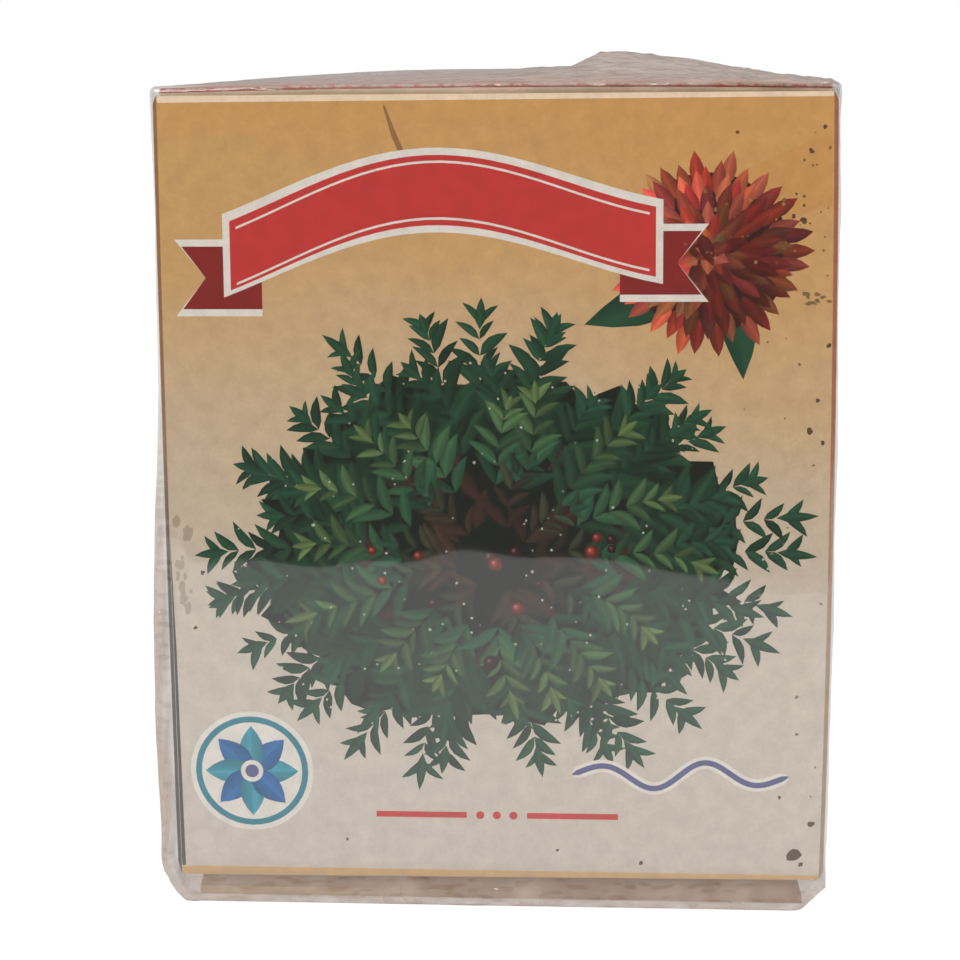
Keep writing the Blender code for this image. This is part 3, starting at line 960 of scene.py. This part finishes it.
def make_carton():
    settings = bpy.context.scene.wrapped_carton
    radius = settings.fold_radius
    board = Board()
    wall_rows = spread(PANEL_BASE + CREASE_STEP + radius, PANEL_TOP - CREASE_STEP - radius, WALL_CUTS)
    base_reach = HALF_WIDTH - BASE_INSET
    top_reach = HALF_WIDTH - TOP_INSET
    base_columns = spread(-base_reach, base_reach, PANEL_CUTS)
    top_columns = [-top_reach, *base_columns, top_reach]
    wide = spread(-HALF_WIDTH + radius, HALF_WIDTH - radius, PANEL_CUTS)
    front_stop, back_stop = -HALF_DEPTH + DUST_FRONT_SETBACK, HALF_DEPTH - DUST_BACK_SETBACK
    dust_rows = [front_stop, *spread(-HALF_DEPTH * 0.6, HALF_DEPTH * 0.6, 4), back_stop]
    deep = [-HALF_DEPTH + radius, *dust_rows, HALF_DEPTH - radius]
    add_walls(board, radius, wall_rows, wide, top_columns, deep)
    add_top_closure(board, radius, top_columns)
    add_base_closure(board, radius, base_columns)
    for side in (-1, 1):
        for level, turn in ((wall_rows[-1], 1), (wall_rows[0], -1)):
            add_dust_flap(board, radius, dust_rows, side, level, turn)
    board.close()
    mesh = bpy.data.meshes.new("printed_carton")
    board.mesh.to_mesh(mesh)
    board.mesh.free()
    for made in (printed_finish(settings), raw_board_finish(), cut_edge_finish()):
        mesh.materials.append(made)
    carton = bpy.data.objects.new("printed_carton", mesh)
    bpy.context.scene.collection.objects.link(carton)
    make_active(carton)
    bpy.ops.object.shade_smooth_by_angle(angle=math.radians(SMOOTH_FOLDS))
    return carton


def grey(value):
    return (value, value, value)


class Finish:
    """The nodes of one material or world. Its patterns lie on the piece's own coordinates."""

    def __init__(self, tree):
        self.nodes = tree.nodes
        self.links = tree.links
        self.shader = tree.nodes.get("Principled BSDF")

    def add(self, kind, **sockets):
        """Make a node and give its sockets a value or a link, by name with _ for a space."""
        made = self.nodes.new("ShaderNode" + kind)
        for name, value in sockets.items():
            self.feed(value, made.inputs[name.replace("_", " ")])
        return made

    def feed(self, value, socket):
        if isinstance(value, bpy.types.NodeSocket):
            self.links.new(value, socket)
        elif socket.type == "RGBA" and isinstance(value, tuple):
            socket.default_value = (*value, 1.0)
        else:
            socket.default_value = value

    def set(self, **sockets):
        for name, value in sockets.items():
            self.feed(value, self.shader.inputs[name.replace("_", " ")])

    def place(self):
        return self.add("TexCoord").outputs["Object"]

    def attribute(self, name):
        made = self.add("Attribute")
        made.attribute_name = name
        return made.outputs

    def noise(self, place, scale, detail, roughness, stretch=None):
        if stretch:
            place = self.add("Mapping", Scale=stretch, Vector=place).outputs["Vector"]
        made = self.add("TexNoise", Scale=scale, Detail=detail, Roughness=roughness, Vector=place)
        return made.outputs["Fac"]

    def ramp(self, factor, *stops):
        made = self.add("ValToRGB", Fac=factor)
        first, last = made.color_ramp.elements
        first.position, first.color = stops[0][0], (*stops[0][1], 1.0)
        last.position, last.color = stops[-1][0], (*stops[-1][1], 1.0)
        for position, tint in stops[1:-1]:
            made.color_ramp.elements.new(position).color = (*tint, 1.0)
        return made.outputs["Color"]

    def greys(self, factor, low, dark, high, light):
        """A ramp from one grey to another."""
        return self.ramp(factor, (low, grey(dark)), (high, grey(light)))

    def tint(self, factor, first, second, mode="MIX"):
        made = self.add("Mix")
        made.data_type = "RGBA"
        made.blend_type = mode
        for value, index in ((factor, 0), (first, 6), (second, 7)):
            self.feed(value, made.inputs[index])
        return made.outputs[2]

    def calculate(self, operation, *values):
        made = self.add("Math")
        made.operation = operation
        for value, socket in zip(values, made.inputs):
            self.feed(value, socket)
        return made.outputs[0]

    def bump(self, height, strength, distance):
        return self.add("Bump", Strength=strength, Distance=distance, Height=height).outputs["Normal"]

    def mix(self, factor, first, second):
        """Mix two shaders."""
        made = self.add("MixShader")
        for value, socket in zip((factor, first, second), made.inputs):
            self.feed(value, socket)
        return made.outputs[0]

    def surface(self, shader):
        self.links.new(shader, self.nodes["Material Output"].inputs["Surface"])


def new_finish(name):
    made = bpy.data.materials.new(name)
    made.use_nodes = True
    return made, Finish(made.node_tree)


def printed_finish(settings):
    """Inks from the mesh over a ground that fades from gold to cream, with worn folds. The inks include
    painted highlight and painted shade on some edges and flaps.
    """
    made, finish = new_finish("printed_board_finish")
    place = finish.place()
    split = finish.add("SeparateXYZ", Vector=place).outputs
    waves = finish.noise(place, 22.0, 1.0, 0.4, (1.0, 1.0, 1.6))
    height = finish.calculate("MULTIPLY_ADD", split["Z"], 1.0 / PANEL_TOP, -0.15)
    height = finish.calculate("MULTIPLY_ADD", waves, 0.24, height)
    height = finish.calculate("MULTIPLY_ADD", split["X"], 0.8, height)
    ground = finish.ramp(
        height, (0.00, settings.paper_base), (0.34, (0.630, 0.545, 0.450)), (0.55, (0.620, 0.465, 0.300)),
        (0.76, (0.640, 0.380, 0.155)), (1.00, settings.paper_top))
    ink = finish.attribute("ink")
    inked = finish.tint(ink["Alpha"], ground, ink["Color"])
    blotch = finish.greys(finish.noise(place, 420.0, 1.0, 0.6), 0.25, 0.89, 0.75, 1.03)
    inked = finish.tint(1.0, inked, blotch, "MULTIPLY")
    grain = finish.greys(finish.noise(place, 2600.0, 0.0, 0.6), 0.30, 0.96, 0.70, 1.02)
    inked = finish.tint(1.0, inked, grain, "MULTIPLY")
    chips = finish.noise(place, 900.0, 2.0, 0.7)
    worn = finish.calculate("MULTIPLY", finish.attribute("fold")["Fac"], chips)
    worn = finish.greys(worn, 0.30, 0.0, 0.46, 0.75)
    finish.set(Base_Color=finish.tint(worn, inked, BARE_FIBRE), Specular_IOR_Level=0.3,
               Roughness=finish.greys(blotch, 0.85, 0.50, 0.98, 0.36))
    return made


def fibre_finish(name, light, dark, scale):
    """Bare paperboard with short fibres."""
    made, finish = new_finish(name)
    fibres = finish.noise(finish.place(), scale, 5.0, 0.7, (1.0, 1.0, 2.6))
    finish.set(Base_Color=finish.ramp(fibres, (0.35, dark), (0.62, light)),
               Roughness=finish.greys(fibres, 0.3, 0.95, 0.7, 0.78),
               Normal=finish.bump(fibres, 0.3, 0.0001))
    return made


def raw_board_finish():
    return fibre_finish("raw_board_finish", (0.40, 0.32, 0.24), (0.30, 0.23, 0.16), 900.0)


def cut_edge_finish():
    return fibre_finish("cut_edge_finish", BARE_FIBRE, (0.42, 0.32, 0.24), 1500.0)


def crowd(value, power=CROWD):
    """Space a cube's cuts so that they lie closer towards its edges."""
    return math.copysign(1.0 - (1.0 - abs(value)) ** power, value) if value else 0.0


def film_lump(x, y, height):
    rise = ease((x - LUMP_START) / (LUMP_PEAK - LUMP_START))
    fall = 1.0 - 0.9 * ease((x - LUMP_PEAK) / (HALF_WIDTH - LUMP_PEAK))
    depth = math.exp(-((y - LUMP_BACK) / LUMP_DEPTH) ** 2)
    edge = ease((HALF_WIDTH - abs(x)) / LUMP_SIDE_FADE) * ease((HALF_DEPTH - abs(y)) / LUMP_FRONT_FADE)
    return height * rise * fall * depth * edge


def film_fin(side, y, z, reach):
    near = 1.0 - ease(abs(y - side * HALF_DEPTH) / FIN_DEPTH)
    return reach * near * ease((FIN_TOP - z) / (FIN_TOP * FIN_FADE)) * ease(z / FIN_FOOT)


def film_base_corner(side, z):
    """How far the film draws in at its foot: round on the left and cut off on the right."""
    if side < 0:
        rest = max(FILM_BASE_ROUND - z, 0.0)
        return FILM_BASE_ROUND - math.sqrt(max(FILM_BASE_ROUND ** 2 - rest ** 2, 0.0))
    return max(FILM_BASE_CHAMFER - z, 0.0)


def crumpled(x):
    """Share of the crumpling on the top, which grows to the right."""
    return ease((x - CRUMPLE_START) / CRUMPLE_RUN)


def ridges(place, scale, seed):
    """Sharp-crested folds between 0 and 1."""
    value = noise.noise(Vector((place[0] * scale, place[1] * scale, place[2] * scale + seed)))
    return (1.0 - min(abs(value) * 2.2, 1.0)) ** 2


def film_wrinkle(spot, outward):
    """How far the film stands off its tight shape at a point."""
    x, y, z = spot
    soft = noise.noise(Vector((x * 38, y * 38 + 3.0, z * 62)))
    pull = noise.noise(Vector((x * 95 + z * 60, y * 95, z * 75 + 7.0)))
    lift = WRINKLE_DEPTH * max(soft + 0.3, -0.15) + PULL_DEPTH * pull
    if outward.z > 0.5:
        coarse = TOP_RIDGE + TOP_CRUMPLE * crumpled(x)
        fine = TOP_FINE_RIDGE * crumpled(x)
        lift += coarse * ridges((x + y * 0.6, y - x * 0.4, z), 190, 2.0)
        lift += fine * ridges((x - y, y + x, z), 420, 9.0)
        return lift
    if outward.z < -0.5:
        return 0.0
    end = max(ease((z - (PANEL_TOP - END_BAND)) / END_BAND), ease((END_START - (z - PANEL_BASE)) / END_BAND))
    lift += end * END_RIDGE * ridges((x + y, z * 0.5, x - y), 300, 4.0)
    lift += end * END_FINE_RIDGE * ridges((x + y, z * 0.6, x - y), 700, 6.0)
    corner = math.exp(-((abs(x) - HALF_WIDTH) / CORNER_BAND) ** 2)
    corner *= math.exp(-((abs(y) - HALF_DEPTH) / CORNER_BAND) ** 2)
    lift += corner * CORNER_RIDGE * ridges((x * 0.5, y * 0.5, z), 240, 1.0)
    return lift


def film_spot(share, settings, radius):
    """Place a point of the unit cube's surface on the wrinkled film, and say how milky it is."""
    half_x = HALF_WIDTH + settings.gap
    half_y = HALF_DEPTH + settings.gap
    x = share.x * half_x
    y = share.y * half_y
    top = top_height(x, y) + settings.gap + film_lump(x, y, settings.lump)
    bottom = max(base_height(y) - BASE_LEVEL, 0.0)
    z = bottom + (top - bottom) * (share.z + 1.0) / 2.0
    core = Vector((clamp(x, -half_x + radius, half_x - radius), clamp(y, -half_y + radius, half_y - radius),
                   clamp(z, bottom + radius, top - radius)))
    outward = Vector((x, y, z)) - core
    if outward.length > 1e-9:
        outward.normalize()
    spot = core + outward * radius
    side = -1 if x < 0 else 1
    spot.x -= side * film_base_corner(side, max(spot.z - bottom, 0.0)) * abs(share.x) ** 3
    if abs(share.x) > FIN_START:
        loose = ease((abs(share.x) - FIN_START) / FIN_BLEND)
        spot.x += side * film_fin(side, spot.y, spot.z, settings.fin) * loose
    spot = bow(spot)
    spot += outward * film_wrinkle(spot, outward)
    spot.z = max(spot.z, 0.0)
    return spot, film_gather(share, spot, outward)


def film_gather(share, spot, outward):
    """How crumpled and milky the film is at a point, between 0 and 1."""
    skirt = ease((PANEL_BASE + 0.0012 - spot.z) / 0.004)
    side = -1 if spot.x < 0 else 1
    loose = film_fin(side, spot.y, spot.z, 1.0) * ease((abs(share.x) - 0.96) / 0.03)
    crown = (0.35 + 0.45 * crumpled(spot.x)) * ease((outward.z - 0.4) / 0.4)
    return max(skirt * 0.85, loose, crown)


def cut_vent(item):
    """Open the small round air hole in the film's back."""
    bm = bmesh.new()
    bm.from_mesh(item.data)
    centre = Vector(VENT_PLACE)
    inside = []
    for face in bm.faces:
        middle = face.calc_center_median()
        if middle.y > HALF_DEPTH - 0.001 and (Vector((middle.x, middle.z)) - centre).length < VENT_RADIUS:
            inside.append(face)
    bmesh.ops.delete(bm, geom=inside, context="FACES")
    for vert in bm.verts:
        if vert.is_boundary:
            flat = Vector((vert.co.x, vert.co.z)) - centre
            vert.co.x, vert.co.z = centre + flat.normalized() * VENT_RADIUS
    bm.to_mesh(item.data)
    bm.free()


def make_film():
    settings = bpy.context.scene.shrink_film
    deselect()
    bpy.ops.mesh.primitive_cube_add(size=2.0)
    film = bpy.context.active_object
    film.name = "shrink_wrap"
    bpy.ops.object.mode_set(mode="EDIT")
    bpy.ops.mesh.select_all(action="SELECT")
    bpy.ops.mesh.subdivide(number_cuts=FILM_CUTS)
    bpy.ops.object.mode_set(mode="OBJECT")
    gather = film.data.attributes.new("gather", "FLOAT", "POINT")
    for vert in film.data.vertices:
        share = Vector((crowd(vert.co.x), crowd(vert.co.y), crowd(vert.co.z, CROWD_UPRIGHT)))
        vert.co, gather.data[vert.index].value = film_spot(share, settings, FILM_ROUND)
    cut_vent(film)
    skin = film.modifiers.new("skin", "SOLIDIFY")
    skin.thickness = settings.thickness
    skin.offset = -1.0
    apply_modifiers(film)
    bpy.ops.object.shade_smooth()
    film.data.materials.append(film_finish(settings))
    return film


def film_finish(settings):
    """Clear film: it lets light through, mirrors more at a slant, and turns milky where it is crumpled."""
    made, finish = new_finish("clear_film_finish")
    finish.nodes.remove(finish.shader)
    place = finish.place()
    gathered = finish.attribute("gather")["Fac"]
    clear = finish.add("BsdfTransparent", Color=grey(0.985))
    milky = finish.add("BsdfDiffuse", Color=MILKY_FILM)
    creases = finish.noise(place, 620.0, 0.0, 0.6, (1.0, 1.0, 1.5))
    gloss = finish.add(
        "BsdfGlossy", Roughness=finish.calculate("MULTIPLY_ADD", gathered, 0.12, 0.035),
        Normal=finish.bump(creases, gathered, 0.0008))
    slant = finish.calculate("POWER", finish.add("LayerWeight").outputs["Facing"], 5.0)
    mirror = finish.calculate("MULTIPLY_ADD", slant, 0.50, 0.042)
    scuffs = finish.noise(place, 240.0, 1.0, 0.7, (1.0, 1.0, 0.5))
    crumple = finish.calculate("MULTIPLY", gathered, scuffs)
    haze = finish.calculate("MULTIPLY_ADD", crumple, 0.74, settings.haze * 0.5)
    hazy = finish.mix(haze, clear.outputs[0], milky.outputs[0])
    finish.surface(finish.mix(mirror, hazy, gloss.outputs[0]))
    return made


def frond_path(turn, twist, reach, start, end):
    """Points of a frond that climbs round the ball and hooks in over its top."""
    points = []
    for share in spread(0, 1, FROND_POINTS):
        polar = start + (end - start) * share
        swell = math.sin(math.pi * (0.12 + 0.84 * share)) ** 0.5
        radius = HEART_RADIUS * (1.0 - swell) + reach * swell
        around = turn + twist * share
        flat = radius * math.sin(polar)
        points.append(Vector((flat * math.cos(around), flat * math.sin(around), radius * math.cos(polar))))
    return points


def straight_frond():
    """The tapered rib of a frond, laid out flat along X."""
    deselect()
    bpy.ops.mesh.primitive_cylinder_add(vertices=6, radius=0.07, depth=1.0, location=(0.5, 0, 0),
                                        rotation=(0, math.pi / 2, 0))
    frond = bpy.context.active_object
    settle(frond)
    bpy.ops.object.mode_set(mode="EDIT")
    bpy.ops.mesh.select_all(action="SELECT")
    bpy.ops.mesh.subdivide(number_cuts=1)
    bpy.ops.object.mode_set(mode="OBJECT")
    bm = bmesh.new()
    bm.from_mesh(frond.data)
    for cut in spread(0.0, 1.0, RIB_CUTS)[1:-1]:
        bmesh.ops.bisect_plane(bm, geom=bm.verts[:] + bm.edges[:] + bm.faces[:], plane_co=(cut, 0, 0),
                               plane_no=(1, 0, 0))
    for vert in bm.verts:
        taper = 1.0 - 0.75 * vert.co.x
        vert.co.y *= taper
        vert.co.z *= taper
    bm.to_mesh(frond.data)
    bm.free()
    return frond


def add_scales(frond, pairs, draw):
    """Branchlets of overlapping scales on both sides of a straight frond."""
    bm = bmesh.new()
    bm.from_mesh(frond.data)
    for index in range(pairs):
        share = (index + 0.6) / (pairs + 0.4)
        reach = 0.55 * math.sin(math.pi * (0.15 + 0.75 * share)) + 0.10
        for hand in (1, -1):
            lean = draw.uniform(0.75, 1.05)
            rise = draw.uniform(-0.05, 0.12)
            for step in range(4):
                along = step / 4
                place = Vector((share + 0.06 * along, hand * reach * (0.08 + 0.82 * along), rise * along))
                heading = Vector((0.10 * lean, hand * reach * 0.34, 0.03))
                add_scale(bm, place, heading, SCALE_WIDTH * (1.0 - 0.45 * along))
    bmesh.ops.recalc_face_normals(bm, faces=bm.faces)
    bm.to_mesh(frond.data)
    bm.free()


def add_scale(bm, root, heading, width):
    """One thick pointed scale with a ridge."""
    side = heading.cross(Vector((0, 0, 1))).normalized() * width * 0.5
    up = Vector((0, 0, width * 0.36))
    middle = root + heading * 0.45
    points = [root, middle + side, root + heading, middle - side, middle + up, middle - up * 0.6]
    verts = [bm.verts.new(point) for point in points]
    for first, second in ((0, 1), (1, 2), (2, 3), (3, 0)):
        bm.faces.new((verts[first], verts[second], verts[4]))
        bm.faces.new((verts[second], verts[first], verts[5]))


def wrap_frond(pattern, path):
    """Bend a straight frond's vertices along a path round the ball."""
    last = len(path) - 1
    spots = []
    for x, y, z in pattern:
        spot = clamp(x, 0.0, FROND_LAST) * last
        low = int(spot)
        point = path[low].lerp(path[low + 1], spot - low)
        point += (path[low + 1] - path[low]) * max(x - FROND_LAST, 0.0) * last
        ahead = (path[low + 1] - path[low]).normalized()
        across = ahead.cross(point.normalized()).normalized()
        outward = across.cross(ahead).normalized()
        spots.append(point + across * (y * FROND_WIDTH) + outward * (z * FROND_WIDTH))
    return spots


def make_core(middle):
    """The ball under the fronds, drawn out at its foot to a short root."""
    bpy.ops.mesh.primitive_uv_sphere_add(segments=40, ring_count=24, radius=CORE_RADIUS, location=middle)
    core = bpy.context.active_object
    core.name = "dried_fronds"
    settle(core)
    for vert in core.data.vertices:
        local = vert.co - middle
        if local.z < ROOT_START:
            share = ease((ROOT_START - local.z) / ROOT_RUN)
            vert.co.z = middle.z + local.z * (1.0 - share) + (-BALL_RADIUS + 0.0002) * share
        vert.co += local.normalized() * (noise.noise(local * 300.0) * CORE_BUMPS)
        vert.co.z = max(vert.co.z, PLANT_LEVEL)
    return core


def make_plant():
    settings = bpy.context.scene.dried_plant
    draw = random.Random(FROND_SEED)
    middle = Vector((0.0, 0.0, PLANT_LEVEL + BALL_RADIUS))
    frond = straight_frond()
    add_scales(frond, settings.leaflets, draw)
    pattern = [tuple(vert.co) for vert in frond.data.vertices]
    rings = (
        (settings.outer_fronds, 0.45, 0.0, 158, 24, 0.0),
        (settings.inner_fronds, 0.7, 0.0014, 66, 7, 0.5))
    made = []
    for fronds, twist, setback, start, end, offset in rings:
        for index in range(fronds):
            turn = math.tau * (index + offset) / fronds + draw.uniform(-0.05, 0.05)
            reach = BALL_RADIUS - FROND_SINK - setback - draw.uniform(0.0, 0.0012)
            path = frond_path(turn, twist, reach, math.radians(start), math.radians(end))
            copy = bpy.data.objects.new("frond", frond.data.copy())
            bpy.context.scene.collection.objects.link(copy)
            for vert, spot in zip(copy.data.vertices, wrap_frond(pattern, path)):
                vert.co = spot + middle
            made.append(copy)
    deselect()
    make_active(make_core(middle))
    for copy in made:
        copy.select_set(True)
    bpy.ops.object.join()
    bpy.data.objects.remove(frond, do_unlink=True)
    plant = bpy.context.active_object
    bpy.ops.object.shade_smooth_by_angle(angle=math.radians(SMOOTH_SCALES))
    plant.data.materials.clear()
    plant.data.materials.append(frond_finish(settings))
    return plant


def frond_finish(settings):
    """Dry scaly fronds: red-brown ridges, darker hollows and greyish tips."""
    made, finish = new_finish("dry_frond_finish")
    place = finish.place()
    red = settings.colour
    patches = finish.ramp(
        finish.noise(place, 130.0, 3.0, 0.6), (0.30, tuple(part * 0.35 for part in red)), (0.50, tuple(red)),
        (0.72, (red[0] * 1.9, red[1] * 2.1, red[2] * 2.0)))
    fine = finish.noise(place, 1900.0, 4.0, 0.7)
    shades = finish.greys(fine, 0.30, 0.65, 0.70, 1.20)
    finish.set(Base_Color=finish.tint(1.0, patches, shades, "MULTIPLY"),
               Roughness=finish.greys(fine, 0.3, 0.92, 0.7, 0.68),
               Normal=finish.bump(fine, 0.6, 0.0003))
    return made


def stage_plane(name, size, location, rotation=(0.0, 0.0, 0.0)):
    deselect()
    bpy.ops.mesh.primitive_plane_add(size=size, location=location, rotation=rotation)
    made = bpy.context.active_object
    made.name = name
    return made


def make_floor(settings):
    """A pale floor that looks evenly white to the camera and to what mirrors it."""
    floor = stage_plane("floor", settings.floor, (0.0, 0.0, -0.0001))
    made, finish = new_finish("pale_floor")
    finish.set(Base_Color=grey(0.80), Roughness=1.0, Emission_Color=grey(1.0), Emission_Strength=0.25)
    glow = finish.add("Emission", Strength=1.05)
    rays = finish.add("LightPath").outputs
    seen = finish.calculate("MAXIMUM", rays["Is Camera Ray"], rays["Is Glossy Ray"])
    finish.surface(finish.mix(seen, finish.shader.outputs[0], glow.outputs[0]))
    floor.data.materials.append(made)


def make_flag():
    """A dark flag in front of the carton that only mirrored light meets."""
    side, height = 2.0, 0.15
    flag = stage_plane("dark_flag", side, (0.0, -0.235, height / 2), (math.pi / 2, 0.0, 0.0))
    flag.scale.y = height / side
    dark, finish = new_finish("dark_cloth")
    finish.set(Base_Color=grey(0.02), Roughness=1.0)
    flag.data.materials.append(dark)
    flag.visible_camera = False
    flag.visible_diffuse = False
    flag.visible_shadow = False
    flag.visible_transmission = False


def add_light(name, place, target, size, power):
    """A soft area light, which what is shiny mirrors only from the front."""
    deselect()
    bpy.ops.object.light_add(type="AREA", location=place)
    lamp = bpy.context.active_object
    lamp.name = name
    lamp.data.shape = "SQUARE"
    lamp.data.size = size
    lamp.data.energy = power
    lamp.rotation_euler = (Vector(target) - Vector(place)).to_track_quat("-Z", "Y").to_euler()
    lamp.visible_glossy = place[1] < 0


def make_world():
    """A pale room. The camera sees it white, and what mirrors it sees it dimmer."""
    world = bpy.data.worlds.new("pale_room")
    bpy.context.scene.world = world
    world.use_nodes = True
    finish = Finish(world.node_tree)
    background = finish.nodes["Background"]
    finish.feed(grey(1.0), background.inputs["Color"])
    rays = finish.add("LightPath").outputs
    seen = finish.calculate("MULTIPLY_ADD", rays["Is Camera Ray"], 0.65, 0.35)
    dim = finish.calculate("MULTIPLY_ADD", rays["Is Glossy Ray"], 0.20, seen)
    finish.feed(dim, background.inputs["Strength"])


def make_camera(settings):
    deselect()
    bpy.ops.object.camera_add(location=settings.camera_place)
    camera = bpy.context.active_object
    pitch, yaw, roll = (math.radians(part) for part in settings.camera_turn)
    turn = Matrix.Rotation(yaw, 4, "Z") @ Matrix.Rotation(math.pi / 2 - pitch, 4, "X")
    turn = turn @ Matrix.Rotation(roll, 4, "Z")
    camera.rotation_euler = turn.to_euler()
    camera.data.sensor_width = 36.0
    camera.data.lens = settings.lens
    camera.data.clip_start = 0.01
    bpy.context.scene.camera = camera


def make_stage():
    settings = bpy.context.scene.photo_stage
    make_floor(settings)
    make_flag()
    make_world()
    add_light("key_softbox", (-0.45, -0.75, 0.80), (0, 0, 0.05), 0.55, 5.0)
    add_light("fill_softbox", (0.60, -0.70, 0.55), (0, 0, 0.05), 0.50, 2.2)
    add_light("top_softbox", (0.0, 0.15, 0.95), (0, 0, 0.05), 0.70, 3.5)
    add_light("rear_softbox", (0.15, 0.85, 0.60), (0, 0, 0.08), 0.50, 2.0)
    make_camera(settings)
    bpy.context.scene.view_settings.view_transform = "Standard"


class CARTON_OT_print(bpy.types.Operator):
    """Build the printed folding carton"""

    bl_idname = "carton.build_printed"
    bl_label = "Printed carton"

    def execute(self, context):
        carton = make_carton()
        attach(carton, "root")
        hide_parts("carton")
        return {"FINISHED"}


class CARTON_OT_film(bpy.types.Operator):
    """Build the wrinkled clear shrink film"""

    bl_idname = "carton.build_film"
    bl_label = "Shrink film"

    def execute(self, context):
        film = make_film()
        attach(film, "root")
        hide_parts("shrink_film")
        return {"FINISHED"}


class CARTON_OT_plant(bpy.types.Operator):
    """Build the dried plant inside the carton"""

    bl_idname = "carton.build_plant"
    bl_label = "Dried plant"

    def execute(self, context):
        plant = make_plant()
        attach(plant, "root")
        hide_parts("dried_plant")
        return {"FINISHED"}


class CARTON_OT_stage(bpy.types.Operator):
    """Build the floor, the lights and the camera"""

    bl_idname = "carton.build_stage"
    bl_label = "Stage"

    def execute(self, context):
        make_stage()
        return {"FINISHED"}


class CARTON_PT_tools(bpy.types.Panel):
    bl_idname = "CARTON_PT_tools"
    bl_label = "Wrapped plant carton"
    bl_space_type = "VIEW_3D"
    bl_region_type = "UI"
    bl_category = "Carton"

    def draw(self, context):
        for operator in OPERATORS:
            self.layout.operator(operator.bl_idname)


OPERATORS = (CARTON_OT_stage, CARTON_OT_print, CARTON_OT_plant, CARTON_OT_film)
SETTINGS = (
    ("wrapped_carton", CartonSettings), ("shrink_film", FilmSettings),
    ("dried_plant", PlantSettings), ("photo_stage", StageSettings))


def register():
    for name, group in SETTINGS:
        bpy.utils.register_class(group)
        setattr(bpy.types.Scene, name, PointerProperty(type=group))
    for operator in OPERATORS:
        bpy.utils.register_class(operator)
    bpy.utils.register_class(CARTON_PT_tools)


def unregister():
    bpy.utils.unregister_class(CARTON_PT_tools)
    for operator in reversed(OPERATORS):
        bpy.utils.unregister_class(operator)
    for name, group in reversed(SETTINGS):
        delattr(bpy.types.Scene, name)
        bpy.utils.unregister_class(group)


def main():
    register()
    bpy.ops.carton.build_stage()
    bpy.ops.carton.build_printed()
    bpy.ops.carton.build_plant()
    bpy.ops.carton.build_film()


if __name__ == "__main__":
    main()
